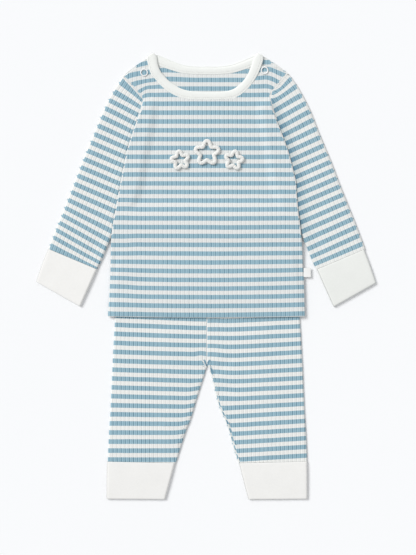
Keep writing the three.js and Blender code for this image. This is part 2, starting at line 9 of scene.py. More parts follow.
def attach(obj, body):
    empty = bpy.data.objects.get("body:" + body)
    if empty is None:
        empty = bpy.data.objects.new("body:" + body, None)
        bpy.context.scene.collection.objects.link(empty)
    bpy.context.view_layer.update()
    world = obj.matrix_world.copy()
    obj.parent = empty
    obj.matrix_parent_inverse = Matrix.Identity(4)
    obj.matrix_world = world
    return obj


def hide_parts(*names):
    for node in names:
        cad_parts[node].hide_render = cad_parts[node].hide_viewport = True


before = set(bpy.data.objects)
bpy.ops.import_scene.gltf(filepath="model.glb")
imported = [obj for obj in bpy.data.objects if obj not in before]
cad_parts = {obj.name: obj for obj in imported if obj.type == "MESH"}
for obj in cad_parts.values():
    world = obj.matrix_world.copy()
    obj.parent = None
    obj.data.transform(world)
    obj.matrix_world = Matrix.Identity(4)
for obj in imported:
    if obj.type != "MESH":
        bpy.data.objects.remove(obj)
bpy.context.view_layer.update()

MM = 0.001
SIDES = ("left", "right")
SIGNS = {"left": -1, "right": 1}
Point = namedtuple("Point", "x y")
Section = namedtuple("Section", "out_x out_y in_x in_y")
Crease = namedtuple("Crease", "x0 y0 x1 y1 reach depth")
SeamEdge = namedtuple("SeamEdge", "width start_y end_y")
Yarn = namedtuple("Yarn", "crown groove gathered")
Star = namedtuple("Star", "name x y radius turn")


def each(kind, *rows):
    """Rows of numbers as named rows of one kind."""
    return [kind(*row) for row in rows]


# Distance from the fold of mesh columns beside it
EDGE_GAPS = (0, 0.12, 0.45, 1, 1.7, 2.4)
WELD_DISTANCE = 0.00001

# Cloth
SHELL = 0.9
CUFF_SHELL = 1.3
BACK_TOP = 1.0
FRONT_TOP = 2.3
FOLD_REACH = 2.4
FOLD_MIDDLE = 1.2

# Ribs: distance between deep grooves, and depth and half width of the deep and shallow grooves
BODY_RIB = 5.45
LEG_RIB = 5.1
SLEEVE_RIB = 5.1
MEAN_RIB = 5.3
CROWN = 0.4
DEEP = (0.46, 0.62)
SHALLOW = (0.22, 0.50)
RIB_STATIONS = (0, 0.075, 0.19, 0.41, 0.5, 0.59, 0.81, 0.925)

# Stripes: distance from one blue band to the next, and a place where a blue band has its middle
BODY_STRIPE = 11.0
BODY_BAND_Y = 216.6
BACK_BAND_Y = 245.7
BACK_STRIPE = 10.8
LEG_STRIPE = {"left": 11.12, "right": 10.84}
LEG_BAND_Y = {"left": -62.7, "right": -65.05}
LEG_BAND_X = 66.0

# The laid cloth is eased here and there: how far its bands lie down from an even spacing, along the
# length of the body, and how much further in the middle of its width
BODY_DRIFT = [
    (216, 1.05), (183, 1.3), (139, 1.55), (116, 1.5), (95, 0.85), (73, 1.15), (50, 0.9), (29, 0.4),
    (7, -0.45), (-3, -0.8), (-25, -1.35), (-47, -0.95),
]
BODY_LEFT_DRIFT = [
    (102, -0.1), (92, -0.75), (78, -0.6), (61, 0.2), (46, 1), (29, 0.75), (10, -0.2), (-8, -0.85),
    (-24, -0.4), (-46, 0.3),
]
BODY_MIDDLE_DRIFT = [(60, 0), (29, 0.1), (7, 0.7), (-3, 1), (-25, 0.8), (-47, 0.5)]

# Shoulders: (distance from the middle, height) of each blue band from the one at the neck's foot up
SHOULDER_BANDS = {
    "left": [
        [(0, 215.6)],
        [(52, 226.8), (73, 226.9), (78, 226), (83, 222)],
        [(61, 237.1), (73, 236.5), (77, 235.4), (82, 232.4), (87, 228.8), (92, 224.6)],
        [(60, 246.8), (68, 245), (78, 243.5), (87, 242), (94.4, 239.6), (100, 237)],
        [(68, 255.8), (73, 255), (83, 253.5), (91, 252.1), (98, 250.2), (104, 248.6)],
        [(68, 267.8), (83, 266.6), (95, 264.6), (104, 262)],
    ],
    "right": [
        [(0, 215.6)],
        [(54, 226.6), (76, 227), (80.6, 226.9), (86, 224.6)],
        [(54, 237.2), (73, 237.5), (77, 237.1), (80.6, 235.8), (84.4, 233.4), (90, 229.4)],
        [(62, 247.7), (73, 249), (77, 248.2), (80.6, 247), (84.4, 245.5), (88, 243.2), (95, 239.6)],
        [(62, 256.8), (77, 259), (80.6, 258.3), (84.4, 256.6), (88, 254.8), (95.6, 251.9), (104, 248.6)],
        [(62, 268.5), (77, 270), (88, 267), (104, 260)],
    ],
}
SHOULDER_FOOT_Y = 216.0
BACK_BAND_END = {"left": 89, "right": 80.5}

# The sides of the body as laid: how far each lies outside the solid's own even side
SIDE_EASE = {
    "left": [
        (200, 0), (188, 0), (171, -0.8), (158, -1.6), (148, -2.2), (129, -2.4), (115, -1.8), (104, -1.2),
        (95, -0.5), (85, 0), (20, 0), (-9, 0.4), (-30, 1), (-46, 1.8),
    ],
    "right": [
        (200, 0), (145, 0), (125, 1), (117, 1.5), (105, 0.6), (92, 0), (68, -1.1), (50, -1.4),
        (30, -1.1), (15, -0.4), (0, 0.2), (-46, 0.4),
    ],
}
SEAM_EDGES = each(SeamEdge, (1.1, 52, 208), (1.9, 224, 252.5))

# Sleeves and cuffs as laid: how far their outer edges lie inside and their inner edges lie outside the
# solid's even edges, along the length in sections
SLEEVE_FIT = {
    "left": (
        [(0, -0.3), (0.6, 0.8), (3.9, 0.8), (4.4, 0.4), (5.7, 0.4), (6.4, 0.8), (7, 0.5), (8, 0.3)],
        [(5.8, 0), (6.4, 0.1), (6.8, 0.5), (7.2, 1.5), (7.7, 2)],
    ),
    "right": (
        [
            (0, 0.4), (0.6, 0.7), (1.2, 1.4), (1.7, 1.3), (2.4, 1.4), (3, 1.9), (3.7, 1.8), (4.4, 1.4),
            (7, 1.2), (8, 0.9),
        ],
        [(5.8, 0), (6.4, 0.3), (6.8, 0.9), (7.2, 2.1), (7.7, 2.8)],
    ),
}
CUFF_FIT = {
    "left": ([(0, 0.4), (1, -0.4), (2, -0.8)], [(0, 2), (2, 1.7)]),
    "right": ([(0, 2.7), (1, 2.4), (2, 2)], [(0, 2.4), (2, 2)]),
}
LEG_CUFF_FIT = {
    "left": ([(0, -0.6), (2, -0.6)], [(0, 0.2), (2, 0)]),
    "right": ([(0, -0.7), (2, -0.5)], [(0, 0.5), (2, 0.8)]),
}

# Inner edges of the legs as laid: how far they open beyond the solid's edges, by height
LEG_OPENING = {
    "left": [
        (-112, 0), (-114.7, 0.4), (-119.7, 1.2), (-130, 1.1), (-154, 1.2), (-180, 0.3), (-192, 1.1),
        (-204, 0.6), (-214, 0), (-228, -1.2),
    ],
    "right": [
        (-112, 0), (-113.5, 1.4), (-117, 2.2), (-124, 2.3), (-130, 2.3), (-137, 1.6), (-143, 1),
        (-155, 0), (-167, 0.2), (-180, 1.7), (-192, 1.8), (-200, 0.9), (-211, 0), (-221, -1),
        (-233, -1.2),
    ],
}
LEG_OUTWARD = [(-175, 0), (-195, 0.6), (-225, 0.95)]

# Legs: how steeply the bands fall towards the centre seam, along the length, and a lift beside the seam
LEG_SLANT = {
    "left": [
        (-60, 0.042), (-85, 0.030), (-105, 0.029), (-130, 0.033), (-150, 0.032), (-172, 0.015),
        (-196, 0.002),
    ],
    "right": [(-60, 0.050), (-85, 0.050), (-120, 0.055), (-160, 0.058), (-232, 0.061)],
}
LEG_SEAM_LIFT = {"left": (0.5, 9), "right": (2, 20)}

# Sleeves: band numbers along the sleeve from its armhole seam, as parts of its length, and how far
# along a band slips from the sleeve's outer to its inner edge
SLEEVE_BANDS = {
    "left": [
        (0, -0.35), (0.026, 0), (0.088, 1), (0.137, 2), (0.184, 3), (0.332, 6), (0.525, 10), (0.670, 13),
        (0.768, 15), (0.857, 17), (0.989, 20), (1, 20.25),
    ],
    "right": [
        (0, -0.15), (0.007, 0), (0.055, 1), (0.111, 2), (0.158, 3), (0.254, 5), (0.400, 8), (0.541, 11),
        (0.682, 14), (0.823, 17), (0.968, 20), (1, 20.65),
    ],
}
SLEEVE_SLIP = {
    "left": [
        (0, -0.010), (0.10, -0.028), (0.26, -0.030), (0.52, -0.021), (0.67, -0.012), (0.81, 0.012),
        (0.94, 0.024), (1, 0.020),
    ],
    "right": [(0, -0.012), (0.20, -0.019), (0.60, -0.017), (0.78, -0.010), (0.97, -0.003)],
}

# Outline of the top: its side fold, armhole seam and shoulders
HEM_Y = -50.3
HEM_SAG = 1.3
SIDE = each(
    Point, (122, HEM_Y - 2), (120.6, 0), (119.4, 49), (113.8, 87.8), (108.1, 129), (101.3, 157.8),
    (92.5, 181.6), (83.8, 204), (79.4, 220.3),
)
ARMHOLE = each(Point, (79.4, 220.3), (90, 233.4), (105, 250.3))
FRONT_SHOULDER = each(Point, (105, 250.3), (88.8, 260.9), (75, 263))
BACK_SHOULDER = each(Point, (105, 250.3), (100, 255.3), (90, 262.8), (78.8, 270.3), (73, 274.4))

# Neck bindings, a row for each section from the middle of the neck out to the end. The front one's
# two sides differ. Both are given with X positive.
FRONT_BINDING_LEFT = each(
    Section, (0, 220.8, 0, 230.3), (23.3, 221.7, 19.5, 231.6), (39.3, 225.6, 33.5, 235.2),
    (53.9, 235.1, 46.3, 243.4), (62.9, 244.7, 53.3, 250.4), (69.9, 252.9, 58.4, 256.8),
    (73, 263.2, 61.5, 265.1), (74.6, 271, 63.1, 275), (72.6, 276.6, 66.4, 279),
)
FRONT_BINDING_RIGHT = each(
    Section, (0, 220.8, 0, 230.3), (22, 221.2, 18.8, 230.9), (38, 224.4, 32.6, 234),
    (50.6, 234.4, 43.2, 242.2), (59, 245, 49.8, 250.6), (64, 254, 53.2, 257.9), (67.4, 262.4, 56, 265.4),
    (69.8, 270.2, 59, 274.2), (69.2, 276.6, 63.2, 279),
)
BACK_BINDING = each(
    Section, (0, 252.8, 0, 262.6), (13, 252.8, 12, 262.4), (31, 254.4, 29, 264.4),
    (46, 258.6, 44, 269.6), (60, 263.6, 58.5, 275.8), (66, 266.4, 65, 277.4),
)

# Sleeve and its cuff, a row for each section from the armhole seam down
SLEEVE = each(
    Section, (105, 250.3, 79.4, 220.3), (117.5, 232.8, 77.5, 205.3), (129.4, 210.3, 81.9, 180),
    (141.9, 180.3, 87.8, 150.3), (154.4, 150.3, 93.1, 118.4), (165.6, 120.3, 101.9, 88.4),
    (177.5, 90.3, 114.4, 59.7), (189.4, 60.3, 128.4, 30.9), (198.8, 34.7, 139.4, 9.7),
)
SLEEVE_CUFF = each(
    Section, (198.9, 34.5, 139.5, 9.5), (206.5, 13.5, 149.5, -13.5), (213.1, -7.2, 160, -37.2),
)

# Trouser leg, its cuff and the waistband
LEG = each(
    Section, (100, 48.7, 0.1, 48.7), (107.5, 17.8, 0.1, 13), (113.1, -17.2, 0.1, -22),
    (117.2, -66, 0.1, -70), (119.4, -107.2, 0.1, -111.5), (120.6, -132.2, 6.6, -136.6),
    (122.8, -182.2, 22.5, -185.3), (124.6, -231.6, 40.4, -233.4),
)
LEG_CUFF = each(
    Section, (124.6, -231.8, 40.5, -233.6), (124.9, -255, 46.3, -256.3), (125, -278.4, 52.5, -279),
)
WAISTBAND = each(
    Section, (97.5, 71.6, -97.5, 71.6), (98.8, 60.3, -98.8, 60.3), (100, 49, -100, 49),
)
CROTCH_Y = -112.0

# Heights that the layers below hold the top up to
ON_LEGS = 3.05
ON_WAIST = 3.95
WAIST_SLOPES = ((100, 74), (49.2, 40))
TUCK_TOP_Y = 212.0
TUCK_FADE_Y = 226.0
TUCK_MARGIN = 5.0
TUCK_SLOPE = 14.0
SIDE_DRAPE = 1.2

# Loft of each upper layer over the lower one
TOP_LOFT = 1.7
SLEEVE_LOFT = 0.9
SLEEVE_SWELL = {"left": 0.9, "right": 1.5}
SLEEVE_LEAD = 0.003
SLEEVE_RIM = 1.4
ARMHOLE_LEAD = 0.052
# Painted shadow of the top on each sleeve beside its edge: how far it reaches and how strong it is
SLEEVE_PAINTED_SHADOW = {"left": (1.8, 0.35), "right": (13, 1)}
LEG_LOFT = 1.1

# Soft creases: a trough where depth is positive, a ridge where it is negative
TOP_CREASES = each(
    Crease, (84, 214, 62, 250, 9, 0.8), (-84, 214, -60, 252, 9, 0.7), (97, 150, 62, 205, 15, 0.2),
    (-99, 146, -66, 196, 17, 0.12), (104, 120, 70, 150, 14, 0.2), (-110, 60, -60, 92, 16, 0.25),
    (112, 40, 52, 62, 16, 0.25), (-116, -20, -70, -2, 11, 0.4), (-40, -40, 10, -52, 10, 0.3),
    (60, 226, 20, 212, 7, 0.35), (-60, 226, -24, 210, 8, 0.35),
)
SLEEVE_CREASES = each(
    Crease, (92, 212, 130, 226, 8, 0.7), (104, 170, 132, 196, 10, 0.6), (112, 120, 140, 160, 11, 0.5),
    (128, 80, 160, 108, 9, 0.6), (134, 52, 150, 20, 8, 0.5), (150, 22, 190, 44, 7, 0.4),
)
LEG_CREASES = {
    "left": each(
        Crease, (4.6, -101.5, 0.9, -112.5, 1.5, 0.9), (6, -124, 34, -108, 7, 0.7),
        (12, -150, 52, -128, 9, 0.5), (60, -64, 100, -78, 12, 0.4), (70, -190, 118, -176, 12, 0.5),
        (46, -222, 80, -206, 10, 0.4),
    ),
    "right": each(
        Crease, (5.2, -101.5, 1.4, -112.5, 1.5, 0.9), (5, -122, 30, -104, 7, 0.7),
        (10, -146, 44, -132, 9, 0.5), (76, -86, 112, -96, 12, 0.5), (58, -168, 116, -158, 13, 0.5),
        (44, -216, 90, -212, 9, 0.4),
    ),
}

# The right armhole seam as laid, and how far the right sleeve reaches up beyond the solid's start, at its
# outer and its inner side
LAID_ARMHOLE = each(Point, (90, 213), (79.9, 221.4), (80.2, 229.5), (100.2, 252.9), (106, 259.7))
LAID_START = (Vector((-4.8, 2.6)), Vector((0.8, 9.2)))
LAID_START_PLACES = (-1, -0.65, -0.3)
LAID_START_PARTS = (0.022, 0.052)
LAID_START_WIDTH = 36.0
FIRST_BANDS = 20.8
SLEEVE_WIDTH = 66.0
TRIM_END_PARTS = (0.008, 0.022, 0.045, 0.955, 0.978, 0.992)

# Inseam of the right leg: its groove, plain edge, dashes and mesh columns
INSEAM_GAP = 2.6
INSEAM_EDGE = 1.0
INSEAM_DASH = (-189, 1, 24)
INSEAM_TOP_Y = -148.0
INSEAM_GAPS = (0, 0.15, 0.5, 0.9, 1.1, 1.8, 2.5, 2.7, 3.1, 3.5, 4, 4.4)
LEG_NARROWING = {"left": 1.4, "right": 0.35}

# Painted shade in the folds that run into the crotch: bands made blue and darkened along lines from (x, y) to
# (x, y), with their reach and strength, and lines made white
CROTCH_FOLD_SHADOWS = {
    "left": each(Crease, (3.6, -104.6, 0.4, -111.6, 1.2, 1)),
    "right": each(Crease, (3.3, -104.8, 0.4, -110.6, 1.7, 1), (4.8, -113.6, 7.2, -121.6, 1.5, 1)),
}
CROTCH_LIGHTS = {
    "left": each(Crease, (0.3, -102.8, 0.3, -107.4, 1.2, 1), (7.4, -101.6, 2.4, -110.6, 1, 0.9)),
    "right": each(Crease, (0.3, -102.8, 0.3, -107.4, 1.2, 1), (2.6, -112, 3.6, -117, 0.8, 1)),
}
LEFT_BULGE = (8, -97, 1.5)
LEFT_LEG_RISE = (-186, 0.6)

# Trimmings: poppers, chest stars, side label
POPPERS = {"left": Point(-78.6, 254.7), "right": Point(72, 257.2)}
POPPER_RADII = (4.1, 0.72)
STARS = each(
    Star, ("star_left", -33.5, 145, 11, 10), ("star_centre", 0, 154, 15, 0),
    ("star_right", 33.5, 145, 11, -10),
)
STAR_DEPTH = 0.2
CORD_HALF = (2.35, 1.55)
CORD_RINGS = 220
CORD_SIDES = 16
COUCHING_COUNT = 30
COUCHING_RADIUS = 0.2
LABEL_DROP = 1.1
LABEL_X = 120.8
LABEL_Y = 4.7
LABEL_WIDTH = 11.2
LABEL_REACH = 8.6

# Room
FLOOR_SIZE = 6.0
FLOOR_Z = -0.0002
SKY_STRENGTH = 0.589
SUN_STRENGTH = 2.31
SUN_DIRECTION = (0.74, -0.52, -0.75)
VIEW_CENTRE = (1.25, -1.56)
VIEW_LONG_SIDE = 693.75
LENS = 85.0
SENSOR = 36.0


# Numbers

def clamp01(value):
    return min(1.0, max(0.0, value))


def ease(value):
    t = clamp01(value)
    return t * t * (3 - 2 * t)


def hump(value):
    return max(0.0, 1 - value * value)


def mix(a, b, t):
    return a + (b - a) * t


def through(values, t):
    """A smooth line through evenly numbered values, at a place between 0 and the last number."""
    last = len(values) - 1
    i = min(last - 1, max(0, int(math.floor(t))))
    w = t - i
    p0, p1, p2, p3 = (values[min(last, max(0, k))] for k in (i - 1, i, i + 1, i + 2))
    return 0.5 * (
        2 * p1 + (p2 - p0) * w + (2 * p0 - 5 * p1 + 4 * p2 - p3) * w ** 2
        + (3 * p1 - p0 - 3 * p2 + p3) * w ** 3
    )


def smooth_table(pairs):
    """A smooth function through (place, value) pairs."""
    pairs = sorted(pairs)
    places = [p for p, _ in pairs]
    values = [v for _, v in pairs]
    slopes = []
    for i in range(len(pairs)):
        a, b = max(0, i - 1), min(len(pairs) - 1, i + 1)
        slopes.append((values[b] - values[a]) / (places[b] - places[a]))

    def at(place):
        if place <= places[0]:
            return values[0]
        if place >= places[-1]:
            return values[-1]
        i = max(k for k in range(len(places) - 1) if places[k] <= place)
        h = places[i + 1] - places[i]
        t = (place - places[i]) / h
        return (
            (2 * t ** 3 - 3 * t ** 2 + 1) * values[i]
            + (t ** 3 - 2 * t ** 2 + t) * h * slopes[i]
            + (3 * t ** 2 - 2 * t ** 3) * values[i + 1]
            + (t ** 3 - t ** 2) * h * slopes[i + 1]
        )

    return at


def straight_table(pairs):
    """A function with straight stretches through (place, value) pairs."""
    pairs = sorted(pairs)

    def at(place):
        if place <= pairs[0][0]:
            return pairs[0][1]
        for (p0, v0), (p1, v1) in zip(pairs, pairs[1:]):
            if place <= p1:
                return mix(v0, v1, (place - p0) / (p1 - p0))
        return pairs[-1][1]

    return at


def steps(start, end, step):
    count = max(1, round(abs(end - start) / step))
    return [mix(start, end, i / count) for i in range(count + 1)]


side_x = smooth_table([(p.y, p.x) for p in SIDE])
armhole_x = smooth_table([(p.y, p.x) for p in ARMHOLE])
front_shoulder_x = straight_table([(p.y, p.x) for p in FRONT_SHOULDER])
back_shoulder_x = straight_table([(p.y, p.x) for p in BACK_SHOULDER])
sleeve_inner_x = straight_table([(s.in_y, s.in_x) for s in SLEEVE])
leg_outer_x = smooth_table([(s.out_y, s.out_x) for s in LEG])
leg_inner_x = straight_table([(s.in_y, s.in_x) for s in LEG])


def crease_depth(creases, x, y):
    total = 0.0
    for c in creases:
        dx, dy = c.x1 - c.x0, c.y1 - c.y0
        t = clamp01(((x - c.x0) * dx + (y - c.y0) * dy) / (dx * dx + dy * dy))
        gap = math.hypot(x - c.x0 - t * dx, y - c.y0 - t * dy)
        if gap < 2.2 * c.reach:
            total += c.depth * math.exp(-((gap / c.reach) ** 2) * 1.6) * (0.55 + 0.45 * math.sin(math.pi * t))
    return total


def waviness(x, y, size=46.0):
    """A slow, even unevenness of laid cloth, from -1 to 1."""
    return noise.noise(Vector((x / size, y / size, 3.7)))


def rib_relief(turns):
    """Depth under a rib's crown at a place across the cloth, counted in ribs."""
    deep = abs(turns - round(turns))
    grooves = ((deep, DEEP), (0.5 - deep, SHALLOW))
    return sum(depth * math.exp(-(away * MEAN_RIB / half) ** 2) for away, (depth, half) in grooves)


def rib_places(pitch, start, end):
    """Places of mesh columns across the ribs, close in the grooves and wide on the crowns."""
    ribs = range(math.floor(start / pitch), math.ceil(end / pitch) + 1)
    places = [(rib + part) * pitch for rib in ribs for part in RIB_STATIONS]
    return [place for place in places if start <= place <= end]


def plain(v):
    """A place along the stripes, moved to the middle of its white band."""
    return math.floor(v) + 0.5


# Meshes

def new_object(name, verts, faces):
    mesh = bpy.data.meshes.new(name)
    mesh.from_pydata(verts, [], faces)
    obj = bpy.data.objects.new(name, mesh)
    bpy.context.collection.objects.link(obj)
    return obj


def make_mesh(name, rows, closed=False):
    """A quad mesh over rows of (x, y, z, u, v, gather). Points that meet are one, and faces point outwards.

    The last value is painted shade: how far a point's colour is darkened to stand in for shade, from 0 to 1,
    and may be left out.
    """
    verts, index, faces, maps, painted_shades = [], {}, [], [], []

    def number(p):
        key = (round(p[0], 3), round(p[1], 3), round(p[2], 3))
        if key not in index:
            index[key] = len(verts)
            verts.append((p[0] * MM, p[1] * MM, p[2] * MM))
            painted_shades.append(p[5] if len(p) > 5 else 0.0)
        return index[key]

    for low, high in zip(rows, rows[1:]):
        count = len(low)
        for c in range(count if closed else count - 1):
            d = (c + 1) % count
            corners = [low[c], low[d], high[d], high[c]]
            numbers = [number(p) for p in corners]
            kept = [k for k in range(4) if numbers[k] != numbers[k - 1]]
            if len(kept) >= 3 and len({numbers[k] for k in kept}) == len(kept):
                faces.append([numbers[k] for k in kept])
                for k in kept:
                    maps.extend(corners[k][3:5])
    obj = new_object(name, verts, faces)
    mesh = obj.data
    mesh.uv_layers.new(name="cloth").data.foreach_set("uv", maps)
    mesh.attributes.new("gather", "FLOAT", "POINT").data.foreach_set("value", painted_shades)
    middle = sum((Vector(v) for v in verts), Vector()) / len(verts)
    outward = 0.0
    for face in mesh.polygons:
        away = face.center - middle if closed else Vector((0, 0, 1))
        outward += face.normal.dot(away) * face.area
    if outward < 0:
        mesh.flip_normals()
    mesh.update()
    return obj


def select_only(*chosen):
    """Selects these objects alone, with the last one active."""
    for other in bpy.context.selected_objects:
        other.select_set(False)
    for obj in chosen:
        obj.select_set(True)
        bpy.context.view_layer.objects.active = obj


def thicken(obj, thickness):
    wall = obj.modifiers.new("wall", "SOLIDIFY")
    wall.thickness = thickness * MM
    wall.offset = -1
    wall.use_even_offset = False
    select_only(obj)
    bpy.ops.object.modifier_apply(modifier=wall.name)


def smooth_shade(obj, angle=50):
    select_only(obj)
    bpy.ops.object.shade_smooth_by_angle(angle=math.radians(angle))


def reshape(obj, change):
    """Runs a change on an object's mesh."""
    shape = bmesh.new()
    shape.from_mesh(obj.data)
    change(shape)
    shape.to_mesh(obj.data)
    shape.free()


def weld(obj):
    reshape(obj, lambda shape: bmesh.ops.remove_doubles(shape, verts=shape.verts, dist=WELD_DISTANCE))


def close_ends(obj):
    """Fills the open ends of a swept mesh and turns all faces outwards."""
    def change(shape):
        bmesh.ops.holes_fill(shape, edges=[e for e in shape.edges if e.is_boundary], sides=0)
        bmesh.ops.recalc_face_normals(shape, faces=shape.faces)

    reshape(obj, change)


def circle(sides):
    """Cosine and sine of even turns."""
    turns = [2 * math.pi * k / sides for k in range(sides)]
    return [(math.cos(turn), math.sin(turn)) for turn in turns]


def level_side(along):
    """The level direction square to a line."""
    return Vector((along.y, -along.x, 0)).normalized()


def up_by(height):
    return Vector((0, 0, height))


def make_tubes(name, tubes):
    """One mesh of small closed tubes, each given as rings of points in millimetres."""
    verts, faces = [], []
    for rings in tubes:
        first, sides = len(verts), len(rings[0])
        last = first + (len(rings) - 1) * sides
        verts += [p * MM for ring in rings for p in ring]
        for start in range(first, last, sides):
            for k in range(sides):
                a, b = start + k, start + (k + 1) % sides
                faces.append((a, b, b + sides, a + sides))
        faces += [tuple(reversed(range(first, first + sides))), tuple(range(last, last + sides))]
    obj = new_object(name, verts, faces)
    close_ends(obj)
    return obj


def dress(obj, material, node=None):
    obj.data.materials.append(material)
    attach(obj, "root")
    if node:
        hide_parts(node)


def lay(obj, wall, material, slot, node, flat, area, rests_on=("floor",)):
    """Thickens a laid piece of cloth and dresses it; its cut size and area are not used."""
    thicken(obj, wall)
    smooth_shade(obj)
    dress(obj, material, node)


# Materials

class Nodes:
    """A short way to write a material's nodes."""

    def __init__(self, name):
        self.material = bpy.data.materials.new(name)
        self.material.use_nodes = True
        self.tree = self.material.node_tree
        self.shader = self.tree.nodes["Principled BSDF"]
        self.place = self.add("ShaderNodeTexCoord").outputs["Object"]

    def add(self, kind, **settings):
        node = self.tree.nodes.new(kind)
        for key, value in settings.items():
            setattr(node, key, value)
        return node

    def link(self, value, socket):
        """Joins an output to a socket, or sets a number or a colour on it."""
        if isinstance(value, bpy.types.NodeSocket):
            self.tree.links.new(value, socket)
        else:
            socket.default_value = (*value, 1.0) if isinstance(value, tuple) else value

    def fill(self, node, values):
        """Joins or sets a node's first sockets in turn."""
        for value, socket in zip(values, node.inputs):
            self.link(value, socket)
        return node.outputs[0]

    def math(self, operation, a, b=0.0):
        return self.fill(self.add("ShaderNodeMath", operation=operation), (a, b))

    def times(self, a, b):
        return self.math("MULTIPLY", a, b)

    def plus(self, total, *others):
        for other in others:
            total = self.math("ADD", total, other)
        return total

    def ramp(self, value, low, high, to_low=0.0, to_high=1.0):
        node = self.add("ShaderNodeMapRange", interpolation_type="SMOOTHSTEP")
        return self.fill(node, (value, low, high, to_low, to_high))

    def blend(self, factor, a, b, kind="MIX"):
        node = self.add("ShaderNodeMix", data_type="RGBA", blend_type=kind)
        self.link(factor, node.inputs[0])
        self.link(a, node.inputs[6])
        self.link(b, node.inputs[7])
        return node.outputs[2]

    def noise(self, scale, detail=2.0):
        node = self.add("ShaderNodeTexNoise")
        self.link(self.place, node.inputs["Vector"])
        self.link(scale, node.inputs["Scale"])
        self.link(detail, node.inputs["Detail"])
        return node.outputs["Fac"]

    def cloth_map(self):
        split = self.add("ShaderNodeSeparateXYZ")
        self.link(self.add("ShaderNodeUVMap", uv_map="cloth").outputs[0], split.inputs[0])
        return split.outputs[0], split.outputs[1]

    # The mesh's painted shade, from 0 to 1.
    def gather(self):
        return self.add("ShaderNodeAttribute", attribute_name="gather").outputs["Fac"]

    def shaded(self, colour, level):
        """A colour made lighter or darker by a level."""
        grey = self.fill(self.add("ShaderNodeCombineXYZ"), (level, level, level))
        return self.blend(1.0, colour, grey, "MULTIPLY")

    def finish(self, colour, bump, roughness, sheen, specular):
        """Sets the shader. Bump is a height, its strength and its distance, and may be empty."""
        if bump:
            node = self.add("ShaderNodeBump")
            for value, key in zip(bump, ("Height", "Strength", "Distance")):
                self.link(value, node.inputs[key])
            self.link(node.outputs["Normal"], self.shader.inputs["Normal"])
        settings = {
            "Base Color": colour, "Roughness": roughness, "Sheen Weight": sheen,
            "Sheen Roughness": 0.45, "Specular IOR Level": specular,
        }
        for key, value in settings.items():
            self.link(value, self.shader.inputs[key])
        return self.material


# Yarn colours: on the ribs' crowns, in their grooves (darkened: painted shade), and in painted shade where the
# mesh asks for it
BODY_BLUE = Yarn((0.318, 0.485, 0.570), (0.115, 0.235, 0.315), (0.125, 0.244, 0.332))
BODY_WHITE = Yarn((0.764, 0.780, 0.772), (0.570, 0.590, 0.590), (0.530, 0.585, 0.585))
LIMB_BLUE = Yarn((0.316, 0.482, 0.566), (0.092, 0.200, 0.275), (0.112, 0.232, 0.322))
LIMB_WHITE = Yarn((0.812, 0.820, 0.802), (0.585, 0.605, 0.602), (0.545, 0.603, 0.603))
# How much the grooves of each yarn darken: painted shade
GROOVE_STRENGTH = {"blue": 0.95, "white": 0.42}
# Darkening of the folded edges of the cuffs on the side that faces the light: painted shade
TRIM_EDGE_PAINTED_SHADE = 0.36
BAND_HALF = 0.260
BAND_BLUR = 0.018
WALES_PER_RIB = 6.0
COURSES_PER_STRIPE = 14.0
LOOP_BUMP = 0.00025
FUZZ_SCALE = 1800.0


def rib_material(name, blue_yarn, white_yarn):
    """Knit rib: bands of two yarns, grooves between the ribs darkened as painted shade, more painted shade
    where the mesh asks for it, and rows of knit stitches.
    """
    n = Nodes(name)
    u, v = n.cloth_map()
    wale = n.math("PINGPONG", n.times(u, WALES_PER_RIB), 0.5)
    jag = n.times(n.math("SUBTRACT", wale, 0.25), 0.035)
    drift = n.times(n.math("SUBTRACT", n.noise(55.0), 0.5), 0.05)
    band = n.math("PINGPONG", n.plus(v, jag, drift), 0.5)
    is_white = n.ramp(band, BAND_HALF - BAND_BLUR, BAND_HALF + BAND_BLUR)
    across = n.math("PINGPONG", u, 0.5)
    deep = n.ramp(across, 0.02, 0.13, 1.0, 0.0)
    shallow = n.ramp(across, 0.40, 0.49)
    rib_chance = n.add("ShaderNodeTexWhiteNoise", noise_dimensions="1D")
    n.link(n.math("FLOOR", n.plus(n.times(u, 2.0), 0.5)), rib_chance.inputs["W"])
    uneven = n.plus(n.times(rib_chance.outputs["Value"], 0.35), n.noise(130.0, 3.0), 0.12)
    # Painted shade in the deep and shallow grooves, uneven from rib to rib
    groove = n.times(n.plus(deep, n.times(shallow, 0.55)), n.times(uneven, 1.25))
    yarns = []
    # Each yarn darkened in its grooves, and more where the mesh holds painted shade
    for yarn, strength in zip((blue_yarn, white_yarn), GROOVE_STRENGTH.values()):
        laid = n.blend(n.times(groove, strength), yarn.crown, yarn.groove)
        yarns.append(n.blend(n.gather(), laid, yarn.gathered))
    heather = n.plus(n.times(n.noise(700.0, 3.0), 0.09), 0.955)
    colour = n.shaded(n.blend(is_white, *yarns), heather)
    course = n.times(v, COURSES_PER_STRIPE)
    chevron = n.math("SINE", n.times(n.plus(course, wale), 2 * math.pi))
    loops = n.plus(n.times(chevron, 0.35), n.times(wale, 1.2), n.times(n.noise(FUZZ_SCALE), 0.6))
    return n.finish(colour, (loops, 0.35, LOOP_BUMP), 0.92, 0.20, 0.25)


